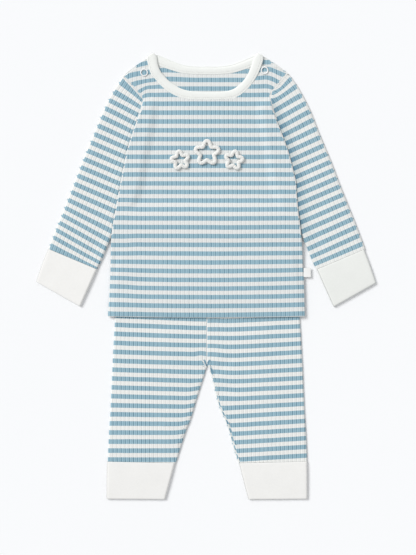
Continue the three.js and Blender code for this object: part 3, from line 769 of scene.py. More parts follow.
def trim_material(name, colour):
    """Plain fine rib of the cuffs and bindings."""
    n = Nodes(name)
    u, v = n.cloth_map()
    wale = n.math("PINGPONG", u, 0.5)
    course = n.math("SINE", n.times(n.plus(v, wale), 2 * math.pi))
    cloudy = n.times(n.plus(n.noise(60.0, 3.0), n.noise(420.0, 3.0)), 0.05)
    # A faint darker line at each fine rib is painted shade of the rib; the clouds are random tone
    shade = n.plus(n.times(wale, 0.07), cloudy, 0.92)
    # The folded edges are darkened where the mesh asks: painted shade
    level = n.math("SUBTRACT", shade, n.times(n.gather(), TRIM_EDGE_PAINTED_SHADE))
    loops = n.plus(n.times(course, 0.25), n.times(wale, 1.6), n.times(n.noise(FUZZ_SCALE), 0.6))
    return n.finish(n.shaded(colour, level), (loops, 0.30, LOOP_BUMP), 0.9, 0.20, 0.25)


def grain_material(name, dark, light, grain, bump, finish, clumps=()):
    """A colour and a bump that a fine grain varies. Clumps add a coarser grain to the bump."""
    n = Nodes(name)
    fine = n.noise(*grain)
    height = n.plus(fine, n.noise(*clumps)) if clumps else fine
    return n.finish(n.blend(fine, dark, light), (height, *bump), *finish)


def tape_material(name):
    n = Nodes(name)
    weave = n.add("ShaderNodeTexWave", bands_direction="Y")
    n.link(n.place, weave.inputs["Vector"])
    n.link(900.0, weave.inputs["Scale"])
    colour = n.blend(weave.outputs["Fac"], (0.86, 0.86, 0.85), (0.92, 0.92, 0.91))
    return n.finish(colour, (weave.outputs["Fac"], 0.15, 0.0001), 0.55, 0.1, 0.4)


body_rib = rib_material("striped_rib_body", BODY_BLUE, BODY_WHITE)
limb_rib = rib_material("striped_rib_limbs", LIMB_BLUE, LIMB_WHITE)
cuff_ribs = {
    "left": trim_material("cuff_rib", (0.872, 0.868, 0.850)),
    # The right cuff is a darker copy of the left one's white: painted shade
    "right": trim_material("cuff_rib_right", (0.812, 0.828, 0.802)),
}
binding_rib = trim_material("binding_rib", (0.856, 0.874, 0.848))
leg_cuff_rib = trim_material("leg_cuff_rib", (0.850, 0.847, 0.830))
chenille = grain_material(
    "chenille_cord", (0.80, 0.80, 0.77), (0.93, 0.93, 0.91), (1500.0, 4.0), (0.8, 0.0008), (0.95, 0.35, 0.2),
    clumps=(420.0, 2.0),
)
white_thread = grain_material(
    "white_thread", (0.7568, 0.7568, 0.7396), (0.88, 0.88, 0.86), (2600.0, 2.0), (0.3, 0.0002), (0.6, 0.1, 0.4),
)
enamel = grain_material(
    "popper_enamel", (0.82, 0.83, 0.83), (0.90, 0.90, 0.90), (900.0, 3.0), (0.08, 0.0001), (0.32, 0.0, 0.5),
)
tape = tape_material("label_tape")


# Heights of the top

def tuck_held(y):
    """How fully the tucked sleeves hold the top up, along its length."""
    return ease((TUCK_FADE_Y - y) / (TUCK_FADE_Y - TUCK_TOP_Y))


def layers_under_top(x, y):
    over_waist, past_waist = (ease((high - y) / (high - low)) for high, low in WAIST_SLOPES)
    trousers = ON_WAIST * over_waist - (ON_WAIST - ON_LEGS) * past_waist
    tuck_x = sleeve_inner_x(y) - TUCK_MARGIN
    slope = ease((abs(x) - tuck_x + TUCK_SLOPE) / TUCK_SLOPE)
    past_leg = ease((abs(x) - leg_outer_x(y) + 1) / 9) * ease((38 - y) / 22)
    return max(trousers, ON_LEGS * slope * tuck_held(y)) - SIDE_DRAPE * past_leg


def top_loft(x, y):
    lengthwise = ease((y - HEM_Y + 1) / 26) * ease((258 - y) / 46)
    lift = TOP_LOFT * hump(x / (side_x(y) - 4)) ** 0.8 * lengthwise
    return max(0.0, lift + 0.3 * waviness(x, y) * lengthwise - crease_depth(TOP_CREASES, x, y))


def top_front_z(x, y):
    return layers_under_top(x, y) + FRONT_TOP + top_loft(x, y) + CROWN


def fold_drop(gap, reach=FOLD_REACH):
    """How far a rounded fold falls off, from 1 on its edge to 0 a reach inside it."""
    inside = 1 - clamp01(gap / reach)
    return 1 - math.sqrt(max(0.0, 1 - inside * inside))


def hem_drop(y):
    return 0.5 * fold_drop(y - HEM_Y, 1.4)


# Outline of the top as laid

side_ease = {side: smooth_table(SIDE_EASE[side]) for side in SIDES}
laid_armhole_x = straight_table([(point.y, point.x) for point in LAID_ARMHOLE])


def panel_edge_x(y):
    return side_x(y) if y <= SIDE[-1].y else armhole_x(y)


def laid_edge_x(edge, y, side):
    """Where the top's edge lies: eased along its side and, on the right, drawn in at the armhole."""
    edge += side_ease[side](y)
    return min(edge, laid_armhole_x(y)) if side == "right" and y > LAID_ARMHOLE[1].y else edge


def front_outer_x(y, side):
    return laid_edge_x(panel_edge_x(y) if y <= ARMHOLE[-1].y else front_shoulder_x(y), y, side)


def back_outer_x(y, side):
    edge = panel_edge_x(y) if y <= ARMHOLE[-1].y else back_shoulder_x(y)
    return edge + side_ease[side](y)


def neck_x(sections):
    """Half width of the neck at a height, along a binding's outer edge."""
    xs = [s.out_x for s in sections]
    ys = [s.out_y for s in sections]
    places = [i / 8 for i in range(8 * (len(sections) - 1) + 1)]
    return straight_table([(through(ys, t), through(xs, t)) for t in places])


# Panels of the top

body_drift = smooth_table(BODY_DRIFT)
body_left_drift = smooth_table(BODY_LEFT_DRIFT)
body_middle_drift = smooth_table(BODY_MIDDLE_DRIFT)
shoulder_bands = {side: [straight_table(band) for band in SHOULDER_BANDS[side]] for side in SIDES}
HEM_ROWS = [HEM_Y + up for up in (0.0, 0.35, 0.9, 1.5)]
NECK_GAP = 0.2
PANEL_HALF = 123.0


def shoulder_band(x, y, side):
    """Number of the blue band at a place on a shoulder, with parts of a number between bands."""
    return straight_table([(band(abs(x)), n) for n, band in enumerate(shoulder_bands[side])])(y)


def panel_row(y, inner, outer, columns, side, height, map_at):
    """One row of half a panel, from its middle or neck out to its edge."""
    sign = SIGNS[side]
    places = [min(max(x, inner), outer - EDGE_GAPS[-1]) for x in columns]
    places += [max(inner, outer - gap) for gap in reversed(EDGE_GAPS[:-1])]
    row = []
    for x in places:
        sag = HEM_SAG * hump(x / 124) * ease((150 - y) / 200)
        u, v = map_at(sign * x, y, side)
        if any(outer - x < edge.width and edge.start_y < y < edge.end_y for edge in SEAM_EDGES):
            v = plain(v)
        row.append((sign * x, y - sag, height(sign * x, y, outer - x), u, v))
    return row


def make_panel(node, bindings, rows_y, outer_x, height, map_at, **cut):
    """A panel of the top. Its rows run right across below the neck, and part into two sides above it."""
    name = node + "_cloth"
    neck_low = bindings[0][0].out_y
    necks = [neck_x(sections) for sections in bindings]
    columns = rib_places(BODY_RIB, 0.0, PANEL_HALF)
    rows = []
    for y in rows_y:
        halves = []
        for side, neck in zip(SIDES, necks):
            inner = 0.0 if y <= neck_low else neck(y) + NECK_GAP
            halves.append(panel_row(y, inner, outer_x(y, side), columns, side, height, map_at))
        rows.append(halves[0][::-1] + halves[1])
    split = len([y for y in rows_y if y <= neck_low])
    half = len(rows[0]) // 2
    obj = make_mesh(name, rows[:split])
    for part in (slice(0, half), slice(half, None)):
        extra = make_mesh(name + "_part", [row[part] for row in rows[split - 1:]])
        select_only(extra, obj)
        bpy.ops.object.join()
    weld(obj)
    lay(obj, SHELL, body_rib, "striped_rib", node, **cut)


def front_height(x, y, gap):
    return top_front_z(x, y) - rib_relief(x / BODY_RIB) - 1.05 * fold_drop(gap) - hem_drop(y)


def front_map(x, y, side):
    if y > SHOULDER_FOOT_Y:
        return x / BODY_RIB, shoulder_band(x, y, side)
    drift = body_drift(y) + body_middle_drift(y) * hump(x / 122) * (y < 60)
    drift += body_left_drift(y) * ease((-x - 82) / 26) * ease((105 - y) / 8)
    wave = 0.02 * waviness(x, y, 60.0) * ease((SHOULDER_FOOT_Y - y) / 20)
    return x / BODY_RIB, (y + drift - BODY_BAND_Y) / BODY_STRIPE + wave


def back_height(x, y, gap):
    relief = rib_relief(x / BODY_RIB) if y > 200 else 0.0
    return layers_under_top(x, y) + BACK_TOP - 0.6 * relief


def back_map(x, y, side):
    out = abs(x)
    fall = -0.6 * ease((out - 62) / 8)
    if side == "left":
        fall = 0.25 * max(0.0, out - 74) - 1.3 * ease((out - 8) / 45) * ease((76 - out) / 20)
    v = (y + fall * ease((y - 240) / 6) - BACK_BAND_Y) / BACK_STRIPE
    if out > BACK_BAND_END[side] and y > 240:
        v = plain(v)
    return x / BODY_RIB, v


front_low, back_low = FRONT_BINDING_LEFT[0].out_y, BACK_BINDING[0].out_y
front_rows = HEM_ROWS + steps(HEM_Y + 4, front_low - 4, 4.0)
front_rows += [front_low + up for up in (0.0, 0.25, 0.6, 1.1, 1.8, 2.8, 4.0)]
front_rows += steps(front_low + 6, ARMHOLE[-1].y, 2.4) + steps(ARMHOLE[-1].y + 1, FRONT_SHOULDER[-1].y, 1.1)
back_rows = HEM_ROWS + steps(HEM_Y + 4, 212, 6.0) + steps(216, back_low, 3.0)
back_rows += [back_low + up for up in (0.3, 0.8, 1.6)] + steps(back_low + 3, BACK_SHOULDER[-1].y, 2.0)
make_panel(
    "top_front", (FRONT_BINDING_LEFT, FRONT_BINDING_RIGHT), front_rows, front_outer_x, front_height, front_map,
    flat=(0.244, 0.316), area=0.066, rests_on=["top_back_cloth"],
)
make_panel(
    "top_back", (BACK_BINDING, BACK_BINDING), back_rows, back_outer_x, back_height, back_map,
    flat=(0.244, 0.328), area=0.068, rests_on=["leg_left_cloth", "leg_right_cloth"],
)


# Flat tubes: sleeves, legs, cuffs and waistband

NO_FIT = ([(0, 0.0)], [(0, 0.0)])
TUBE_BACK_COUNT = 16


def section_points(sections, t):
    outer = Vector((through([s.out_x for s in sections], t), through([s.out_y for s in sections], t)))
    inner = Vector((through([s.in_x for s in sections], t), through([s.in_y for s in sections], t)))
    return outer, inner


def even_places(sections, step):
    """Places along a tube's table, about a step apart on its outer edge."""
    fine = [i / 20 for i in range(20 * (len(sections) - 1) + 1)]
    lengths = [0.0]
    for a, b in zip(fine, fine[1:]):
        gap = section_points(sections, b)[0] - section_points(sections, a)[0]
        lengths.append(lengths[-1] + gap.length)
    find = straight_table(list(zip(lengths, fine)))
    return [(find(length), length / lengths[-1]) for length in steps(0.0, lengths[-1], step)]


def tube_rows(sections, places, offsets, sign, height, map_at, fit=NO_FIT, middle_z=FOLD_MIDDLE):
    """Rings of a flattened tube: across its upper layer from the outer fold, and back under it."""
    rows = []
    inset, outset = (straight_table(pairs) for pairs in fit)
    first_gap, edge_gap, under_gap, fold_gap = (EDGE_GAPS[k] for k in (1, 3, 4, 5))
    for t, part in places:
        at = max(0.0, t)
        outer, inner = section_points(sections, at)
        shift = (inner - outer).normalized()
        outer, inner = outer + shift * inset(t), inner + shift * outset(t)
        if t < 0:
            outer, inner = outer - LAID_START[0] * t, inner - LAID_START[1] * t
        ahead, _ = section_points(sections, min(len(sections) - 1, at + 0.05))
        behind, _ = section_points(sections, max(0.0, t - 0.05))
        across = inner - outer
        width = across.length
        across.normalize()
        down = (ahead - behind).normalized()
        square = abs(across.x * down.y - across.y * down.x)
        upper = list(EDGE_GAPS[:-1]) + [min(max(s / square, fold_gap), width - fold_gap) for s in offsets]
        upper += [width - gap for gap in reversed(EDGE_GAPS[:-1])]
        back = [mix(width, 0, k / TUBE_BACK_COUNT) for k in range(1, TUBE_BACK_COUNT)]
        lower = [width - first_gap, width - edge_gap]
        lower += [min(max(s, under_gap), width - under_gap) for s in back] + [edge_gap, first_gap]
        ring = []
        for i, s in enumerate(upper + lower):
            point = outer + across * s
            gap = min(s, width - s)
            top = height(point.x, point.y, s * square, part) if i < len(upper) else 0.0
            z = mix(top, middle_z, fold_drop(gap))
            ring.append((sign * point.x, point.y, z, *map_at(point.x, point.y, s * square, part, gap)))
        rows.append(ring)
    return rows


def beyond_top(x, y, side):
    """How far a place on a sleeve lies outside the top's edge."""
    return x - laid_edge_x(panel_edge_x(y), y, side)


def make_sleeve(side):
    sign, swell = SIGNS[side], SLEEVE_SWELL[side]
    bands, slip = straight_table(SLEEVE_BANDS[side]), straight_table(SLEEVE_SLIP[side])
    reach, strength = SLEEVE_PAINTED_SHADOW[side]

    def height(x, y, offset, part):
        beyond = beyond_top(x, y, side)
        near = ease((beyond + 0.9) / 1.8)
        far = ease((beyond - 3) / 15)
        loft = (swell * near * (1 - far) + SLEEVE_LOFT * far) * ease(offset / 10 + 0.25) * ease((238 - y) / 26)
        crease = crease_depth(SLEEVE_CREASES, x, y) - 0.2 * waviness(x, y, 38.0)
        lift = max(0.0, loft - crease * ease((beyond - 4) / 8))
        return FRONT_TOP + lift + CROWN - rib_relief(offset / SLEEVE_RIB)

    def map_at(x, y, offset, part, gap):
        if part < 0:
            part *= mix(LAID_START_PARTS[0], LAID_START_PARTS[1], clamp01(offset / LAID_START_WIDTH))
        place = part - slip(part) * (offset / SLEEVE_WIDTH - 0.5) + SLEEVE_LEAD * ease((0.38 - part) / 0.2)
        if side == "right":
            inward = math.exp(-gap / 9.0) * ease((offset - 14) / 10)
            place += ARMHOLE_LEAD * inward * ease((0.085 - part) / 0.08)
        # Painted shadow: the sleeve is darkened beside the top's edge, where the top's shadow falls
        near_top = clamp01(1 - max(0.0, beyond_top(x, y, side) - 0.5) / reach)
        gather = strength * near_top ** 1.3 * ease((y - 40) / 30) * ease((232 - y) / 22)
        band = bands(max(0.0, place)) + FIRST_BANDS * min(0.0, place)
        if gap < SLEEVE_RIM and offset < 3:
            band = plain(band)
        return sign * offset / SLEEVE_RIB, -band, gather

    places = even_places(SLEEVE, 3.6)
    if side == "right":
        places = [(t, t) for t in LAID_START_PLACES] + places
    offsets = rib_places(SLEEVE_RIB, 2.4, 74.0)
    rows = tube_rows(SLEEVE, places, offsets, sign, height, map_at, SLEEVE_FIT[side])
    obj = make_mesh(f"sleeve_{side}_cloth", rows, closed=True)
    lay(obj, SHELL, limb_rib, "striped_rib", f"sleeve_{side}", (0.132, 0.236), 0.029)


leg_slant = {side: straight_table(LEG_SLANT[side]) for side in SIDES}
leg_opening = {side: smooth_table(LEG_OPENING[side]) for side in SIDES}
leg_outward = straight_table(LEG_OUTWARD)


def leg_height(x, y, side):
    outer, inner = leg_outer_x(y), leg_inner_x(y)
    across = hump((2 * x - outer - inner) / (outer - inner)) ** 0.7
    lengthwise = ease((-55 - y) / 20) * ease((y + 233) / 16)
    lift = LEG_LOFT * across * lengthwise + 0.25 * waviness(x, y, 40.0) * lengthwise
    lift -= crease_depth(LEG_CREASES[side], x, y) * lengthwise
    return FRONT_TOP + max(0.0, lift) + CROWN - rib_relief(x / LEG_RIB)


def leg_lift(x, y, inward, side):
    """How far a leg's bands are drawn up beside its seams."""
    seam_lift, seam_reach = LEG_SEAM_LIFT[side]
    lift = seam_lift * math.exp(-(inward / seam_reach) ** 2) * ease((y + 170) / 30)
    if side == "right":
        return lift * (1 + 0.6 * ease((-72 - y) / 24))
    lift += LEFT_BULGE[2] * math.exp(-((x - LEFT_BULGE[0]) / 6) ** 2 - ((y - LEFT_BULGE[1]) / 6) ** 2)
    lift += LEFT_LEG_RISE[1] * hump((y - LEFT_LEG_RISE[0]) / 46)
    return lift + 1.9 * math.exp(-(inward / 8.0) ** 2) * ease((y + 230) / 44) * ease((-124 - y) / 16)


def leg_map(x, y, inward, side):
    height = y - leg_slant[side](y) * (x - LEG_BAND_X) - leg_lift(x, y, inward, side)
    v = (height - LEG_BAND_Y[side]) / LEG_STRIPE[side] + 0.02 * waviness(x, y, 55.0)
    gather = 0.0
    if side == "right" and y < CROTCH_Y - 3:
        dashed = hump((y - INSEAM_DASH[0]) / INSEAM_DASH[2])
        if inward < INSEAM_EDGE:
            v = plain(v)
        elif inward < INSEAM_GAP + INSEAM_DASH[1] * dashed:
            v -= 0.40 * ease((INSEAM_TOP_Y - y) / 8)
            # Painted shade: the dashes beside the inseam are darkened
            gather = 0.5 * dashed
    if y > CROTCH_Y - 14:
        # Painted shade along the crotch folds: bands made blue and darkened
        fold = crease_depth(CROTCH_FOLD_SHADOWS[side], x, y)
        if fold > 0.35:
            v = round(v)
            gather = min(0.8, fold)
        elif crease_depth(CROTCH_LIGHTS[side], x, y) > 0.4:
            v = plain(v)
    return SIGNS[side] * x / LEG_RIB, v, gather


def leg_places():
    """Places along a leg, closer together where it parts at the crotch."""
    places = [t for t, _ in even_places(LEG, 3.8)]
    find = straight_table([(section_points(LEG, t)[0].y, t) for t in places])
    extra = [find(y) for y in steps(-96, -124, 1.2)]
    kept = [t for t in places if all(abs(t - other) > 0.015 for other in extra)]
    return sorted(kept + extra)


def make_leg(side):
    ribs = rib_places(LEG_RIB, 0.0, 128.0)
    rings = []
    for t in leg_places():
        outer, inner = section_points(LEG, t)
        inner.x = max(0.06, inner.x)
        outer.x += leg_outward(inner.y) - LEG_NARROWING[side]
        inner.x += leg_opening[side](inner.y)
        upper = [outer.x - gap for gap in EDGE_GAPS[:-1]]
        upper += [min(max(x, inner.x + 3.8), outer.x - EDGE_GAPS[-1]) for x in reversed(ribs)]
        upper += [inner.x + gap for gap in reversed(INSEAM_GAPS)]
        lower = [inner.x + gap for gap in (0.15, 1.1)]
        lower += [mix(inner.x + 2.0, outer.x - 2.0, k / 18) for k in range(19)]
        lower += [outer.x - gap for gap in (1.1, 0.15)]
        ring = []
        for i, x in enumerate(upper + lower):
            y = mix(outer.y, inner.y, (outer.x - x) / (outer.x - inner.x))
            inward = x - inner.x
            gap, top = min(outer.x - x, inward), 0.0
            if i < len(upper):
                gap = min(outer.x - x, inward * (1.6 if inner.x < 1 else 1.0))
                top = leg_height(x, y, side)
                if y < CROTCH_Y - 4 and side == "right":
                    top -= 0.45 * math.exp(-((inward - INSEAM_GAP) / 0.5) ** 2)
            z = mix(top, FOLD_MIDDLE, fold_drop(gap))
            ring.append((SIGNS[side] * x, y, z, *leg_map(x, y, inward, side)))
        rings.append(ring)
    obj = make_mesh(f"leg_{side}_cloth", rings, closed=True)
    lay(obj, SHELL, limb_rib, "striped_rib", f"leg_{side}", (0.250, 0.284), 0.052)


def trim_tube(node, sections, side, material, flat, area, fit=NO_FIT, thick=3.75, bulge=0.35):
    """A doubled rib tube with rounded folds and rounded ends."""
    last = len(sections) - 1
    length = (section_points(sections, last)[0] - section_points(sections, 0)[0]).length

    def height(x, y, offset, part):
        ends = max(fold_drop(part * length, 1.6) * 0.9, fold_drop((1 - part) * length, 2.0) * 1.3)
        return thick + bulge * hump(2 * part - 1) + 0.12 * waviness(x, y, 22.0) - ends

    def map_at(x, y, offset, part, gap):
        # Painted shade: the folded edge on the side that faces the light gets a dark line
        lit = (offset < gap + 1) == (side == "left")
        return SIGNS[side] * offset / 1.25, part * length, ease((1.8 - gap) / 1.8) * lit

    places = even_places(sections, 3.0) + [(last * part, part) for part in TRIM_END_PARTS]
    places.sort(key=lambda pair: pair[1])
    offsets = [k * 2.5 for k in range(1, 82)]
    rows = tube_rows(sections, places, offsets, SIGNS[side], height, map_at, fit, thick / 2)
    obj = make_mesh(node + "_cloth", rows, closed=True)
    lay(obj, CUFF_SHELL, material, "white_rib", node, flat, area)


for hand in SIDES:
    make_sleeve(hand)
    make_leg(hand)
    trim_tube(f"cuff_{hand}", SLEEVE_CUFF, hand, cuff_ribs[hand], (0.126, 0.047), 0.0055, CUFF_FIT[hand])
    trim_tube(f"leg_cuff_{hand}", LEG_CUFF, hand, leg_cuff_rib, (0.160, 0.047), 0.0073, LEG_CUFF_FIT[hand])
trim_tube("waistband", WAISTBAND, "right", cuff_ribs["left"], (0.400, 0.023), 0.0090, thick=3.2, bulge=0.1)


# Neck bindings

# Cross-section of a binding: part of its width from the outer edge, and height over its base
FRONT_PROFILE = [
    (-0.02, 1.25), (0, 1.60), (0.05, 1.74), (0.13, 1.66), (0.17, 1.58), (0.22, 1.80), (0.38, 1.98),
    (0.60, 2.05), (0.82, 1.92), (0.94, 1.5), (1, 0.9), (0.97, 0.3), (0.85, 0), (0.15, 0), (0.04, 0),
    (0.01, 0.5),
]
BACK_PROFILE = [
    (-0.02, 1.05), (0, 1.35), (0.05, 1.45), (0.12, 1.36), (0.16, 1.30), (0.22, 1.50), (0.40, 1.72),
    (0.62, 1.78), (0.80, 1.62), (0.87, 0.80), (0.92, 0.80), (0.97, 1.15), (1, 0.8), (0.97, 0.2),
    (0.15, 0), (0.04, 0),
]
UPPER_SIDE = slice(0, 10)

# A binding's node, its left and right sections, profile, base height in the middle and at the ends, cut
# size and area, and how far along its sections its stitches run
Binding = namedtuple("Binding", "node left right profile base flat area stitched")
BINDINGS = {
    "front": Binding(
        "neck_binding_front", FRONT_BINDING_LEFT, FRONT_BINDING_RIGHT, FRONT_PROFILE, (1.35, 2.2),
        (0.215, 0.010), 0.0021, 7.4,
    ),
    "back": Binding(
        "neck_binding_back", BACK_BINDING, BACK_BINDING, BACK_PROFILE, (0, 0),
        (0.140, 0.0105), 0.00145, 4.2,
    ),
}

# Rings along a stitch: place along it, width and height
STITCH_STATIONS = (
    (-0.5, 0.35, -0.35), (-0.36, 0.85, 0.1), (0, 1, 0.35), (0.36, 0.85, 0.1), (0.5, 0.35, -0.35),
)


def binding_base(binding, t):
    return mix(*binding.base, ease((t - 3.6) / 1.8))


def binding_rings(sections, binding):
    last = len(sections) - 1
    rings, length, before = [], 0.0, None
    for i in range(6 * last + 1):
        t = i / 6
        outer, inner = section_points(sections, t)
        middle = (outer + inner) / 2
        length += 0.0 if before is None else (middle - before).length
        before = middle
        end = fold_drop((last - t) * 6, 1.2)
        ring = []
        for part, up in binding.profile:
            p = outer.lerp(inner, part)
            z = binding_base(binding, t) + up * (1 - 0.35 * end) + 0.08 * waviness(p.x, p.y, 9.0) * (up > 1)
            ring.append((p.x, p.y, z, part * 9.0, length))
        rings.append(ring)
    return rings


def make_binding(binding):
    left = reversed(binding_rings(binding.left, binding)[1:])
    rings = [[(-x, y, z, u, -v) for x, y, z, u, v in ring] for ring in left]
    obj = make_mesh(binding.node + "_cloth", rings + binding_rings(binding.right, binding), closed=True)
    close_ends(obj)
    smooth_shade(obj, 60)
    dress(obj, binding_rib, binding.node)


# Sewing

def stitch_row(name, points, spacing, length, width, height):
    """A row of small rounded stitches along a line of points, joined in one mesh."""
    tubes = []
    travelled = 0.0
    due = spacing / 2
    for a, b in zip(points, points[1:]):
        gap = (b - a).length
        along = (b - a).normalized()
        across = level_side(along) * (width / 2)
        while due <= travelled + gap:
            middle = a.lerp(b, (due - travelled) / gap)
            rings = []
            for place, swell, rise in STITCH_STATIONS:
                centre = middle + along * (place * length) + up_by(rise * height)
                rings.append([centre + (across * c + up_by(s * height / 2)) * swell for c, s in circle(6)])
            tubes.append(rings)
            due += spacing
        travelled += gap
    obj = make_tubes(name, tubes)
    smooth_shade(obj, 60)
    dress(obj, white_thread)


def binding_points(binding, part):
    """A line along a binding at a part of its width, on its upper side."""
    up = straight_table(binding.profile[UPPER_SIDE])(part)
    halves = []
    for sections in (binding.right, binding.left):
        half = []
        for i in range(int(8 * binding.stitched) + 1):
            outer, inner = section_points(sections, i / 8)
            p = outer.lerp(inner, part)
            half.append(Vector((p.x, p.y, binding_base(binding, i / 8) + up + 0.05)))
        halves.append(half)
    return [Vector((-p.x, p.y, p.z)) for p in reversed(halves[1][1:])] + halves[0]


for strip in BINDINGS.values():
    make_binding(strip)
for number, part in enumerate((0.13, 0.27)):
    for key, strip in BINDINGS.items():
        stitch_row(f"neck_{key}_stitches_{number + 1}", binding_points(strip, part), 2.5, 1.9, 0.42, 0.35)


def ribbon(name, points, half_width, rise, material):
    """A narrow rounded strip along a line of points."""
    rows = []
    travelled = 0.0
    for i, p in enumerate(points):
        before, after = points[max(0, i - 1)], points[min(len(points) - 1, i + 1)]
        across = level_side(after - before)
        travelled += (p - before).length
        ring = []
        for k, (c, s) in enumerate(circle(10)):
            q = p + across * (c * half_width) + up_by(s * rise)
            ring.append((q.x, q.y, q.z, k * 0.3, travelled))
        rows.append(ring)
    obj = make_mesh(name, rows, closed=True)
    close_ends(obj)
    smooth_shade(obj, 70)
    dress(obj, material)


def armhole_line(side):
    """The armhole seam as laid, from the shoulder down."""
    sign, points, top_y = SIGNS[side], [], ARMHOLE[-1].y
    if side == "right":
        top_y = LAID_ARMHOLE[-2].y
        points.append(Vector((front_outer_x(top_y, side) + 0.9, top_y + 1.0, 1.9)))
    for y in steps(top_y - 0.4, ARMHOLE[0].y, 2.0):
        points.append(Vector((sign * (front_outer_x(y, side) + 0.1), y, 2.05)))
    for y in steps(ARMHOLE[0].y - 1.2, 196.0, 2.4):
        points.append(Vector((sign * (side_x(y) + 0.25), y, 2.05 + 1.6 * tuck_held(y))))
    return points


for hand in SIDES:
    line = armhole_line(hand)
    ribbon(f"armhole_seam_{hand}", line, 0.75, 0.75, white_thread)
    stitch_row(f"armhole_stitches_{hand}", [p + up_by(0.72) for p in line], 1.3, 0.5, 1.5, 0.35)

inseam = []
for y in steps(CROTCH_Y - 6, -230.5, 3.0):
    seam_x = leg_inner_x(y) + INSEAM_GAP
    inseam.append(Vector((seam_x, y, leg_height(seam_x, y, "right") - 0.42)))
stitch_row("inseam_stitches", inseam, 1.9, 1.5, 0.55, 0.35)


# Ring poppers

def make_popper(side):
    place = POPPERS[side]
    middle_z = top_front_z(place.x, place.y) + 0.1 + 0.55
    select_only()
    bpy.ops.mesh.primitive_torus_add(
        location=(place.x * MM, place.y * MM, middle_z * MM), major_radius=POPPER_RADII[0] * MM,
        minor_radius=POPPER_RADII[1] * MM, major_segments=48, minor_segments=14,
    )
    ring = bpy.context.object
    ring.name = f"popper_{side}"
    ring.scale = (1, 1, 0.8)
    bpy.ops.object.transform_apply(location=True, rotation=True, scale=True)
    smooth_shade(ring, 60)
    dress(ring, enamel, f"popper_ring_{side}")


for hand in SIDES:
    make_popper(hand)


# Chest stars in couched cord

def star_point(star, angle):
    r = star.radius * (1 - STAR_DEPTH + STAR_DEPTH * math.cos(5 * angle))
    heading = angle + math.pi / 2 + math.radians(star.turn)
    x, y = star.x + r * math.cos(heading), star.y + r * math.sin(heading)
    return Vector((x, y, top_front_z(x, y) + 0.15 + CORD_HALF[1]))


def star_line(star, angle):
    """A point of the cord's middle line, the line's level direction there and the direction across it."""
    along = star_point(star, angle + 0.01) - star_point(star, angle - 0.01)
    along.z = 0
    along.normalize()
    return star_point(star, angle), along, level_side(along)


def make_star(star):
    rows = []
    for i in range(CORD_RINGS + 1):
        angle = 2 * math.pi * (i % CORD_RINGS) / CORD_RINGS
        middle, _, across = star_line(star, angle)
        ring = []
        for k, (c, s) in enumerate(circle(CORD_SIDES)):
            direction = across * (CORD_HALF[0] * c) + up_by(CORD_HALF[1] * s)
            pile = 0.07 * noise.noise((middle + direction) * 0.9)
            twist = 0.05 * math.cos(4 * math.pi * k / CORD_SIDES + 62 * angle)
            p = middle + direction * (1 + pile + twist)
            ring.append((p.x, p.y, p.z, k, i))
        rows.append(ring)
    obj = make_mesh(star.name + "_cord", rows, closed=True)
    weld(obj)
    close_ends(obj)
    smooth_shade(obj, 70)
    dress(obj, chenille, star.name)


def make_couching(star):
    """Threads that hold a star's cord down, across it."""
    tubes = []
    wide, high = CORD_HALF[0] + 0.12, CORD_HALF[1] + 0.06
    for i in range(COUCHING_COUNT):
        middle, along, across = star_line(star, 2 * math.pi * (i + 0.5) / COUCHING_COUNT)
        turns = [math.pi * k / 8 for k in range(9)]
        line = [middle + across * (math.cos(turn) * wide) + up_by(math.sin(turn) * high) for turn in turns]
        foot = (line[0] + line[-1]) / 2
        rings = []
        for p in line:
            away = (p - foot).normalized()
            rings.append([p + (along * c + away * s) * COUCHING_RADIUS for c, s in circle(5)])
        tubes.append(rings)
    obj = make_tubes(star.name + "_couching", tubes)
    smooth_shade(obj, 70)
    dress(obj, white_thread)


for star in STARS:
    make_star(star)
    make_couching(star)


# Side label: a folded tape tab, bare

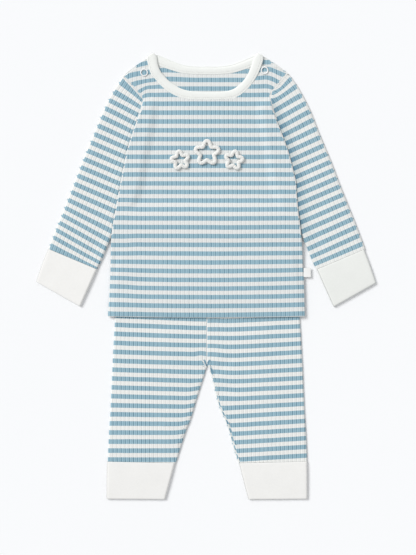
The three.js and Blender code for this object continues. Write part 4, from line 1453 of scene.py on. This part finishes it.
def make_label():
    def layer(part, top_z):
        return LABEL_X + LABEL_REACH * part, top_z - LABEL_DROP - 0.7 * part ** 1.6, part

    path = [layer(k / 8, 4.95) for k in range(9)]
    for k in range(1, 8):
        angle = math.pi * k / 8
        x = LABEL_X + LABEL_REACH + 0.45 * math.sin(angle)
        path.append((x, 3.80 - LABEL_DROP + 0.45 * math.cos(angle), 1.0))
    path += [layer(1 - k / 8, 4.05) for k in range(9)]
    rows = []
    for y in steps(LABEL_Y - LABEL_WIDTH / 2, LABEL_Y + LABEL_WIDTH / 2, 0.8):
        lift = 0.25 * ((y - LABEL_Y) / LABEL_WIDTH * 2) ** 2
        rows.append([(x, y, z + lift * part, x, y) for x, z, part in path])
    obj = make_mesh("label_tab", rows)
    thicken(obj, 0.3)
    smooth_shade(obj)
    dress(obj, tape, "side_label")


make_label()

# Centre seam of the trousers, from the hem of the top to the crotch
centre_line = [Vector((0, y, FRONT_TOP - 0.55)) for y in steps(46.0, CROTCH_Y + 2, 4.0)]
ribbon("centre_seam", centre_line, 0.7, 0.4, leg_cuff_rib)


# Floor, light and camera

def make_floor():
    select_only()
    bpy.ops.mesh.primitive_plane_add(size=FLOOR_SIZE, location=(0, 0, FLOOR_Z))
    floor = bpy.context.object
    floor.name = "floor"
    n = Nodes("pale_floor")
    colour = n.blend(n.noise(3.0), (0.903, 0.913, 0.927), (0.913, 0.923, 0.937))
    floor.data.materials.append(n.finish(colour, (), 0.8, 0.0, 0.1))


def make_light():
    world = bpy.data.worlds.new("soft_room")
    world.use_nodes = True
    sky = world.node_tree.nodes["Background"]
    sky.inputs[0].default_value = (0.985, 0.99, 1.0, 1.0)
    sky.inputs[1].default_value = SKY_STRENGTH
    bpy.context.scene.world = world
    sun = bpy.data.lights.new("window", "SUN")
    sun.energy = SUN_STRENGTH
    sun.angle = math.radians(26)
    sun.color = (1.0, 0.995, 0.985)
    lamp = bpy.data.objects.new("window", sun)
    lamp.rotation_euler = Vector(SUN_DIRECTION).to_track_quat("-Z", "Y").to_euler()
    bpy.context.collection.objects.link(lamp)


def make_camera():
    data = bpy.data.cameras.new("camera")
    data.lens = LENS
    data.sensor_width = SENSOR
    camera = bpy.data.objects.new("camera", data)
    distance = VIEW_LONG_SIDE * LENS / SENSOR
    camera.location = (VIEW_CENTRE[0] * MM, VIEW_CENTRE[1] * MM, (distance + 3.0) * MM)
    bpy.context.collection.objects.link(camera)
    bpy.context.scene.camera = camera


make_floor()
make_light()
make_camera()
bpy.context.scene.view_settings.view_transform = "Standard"
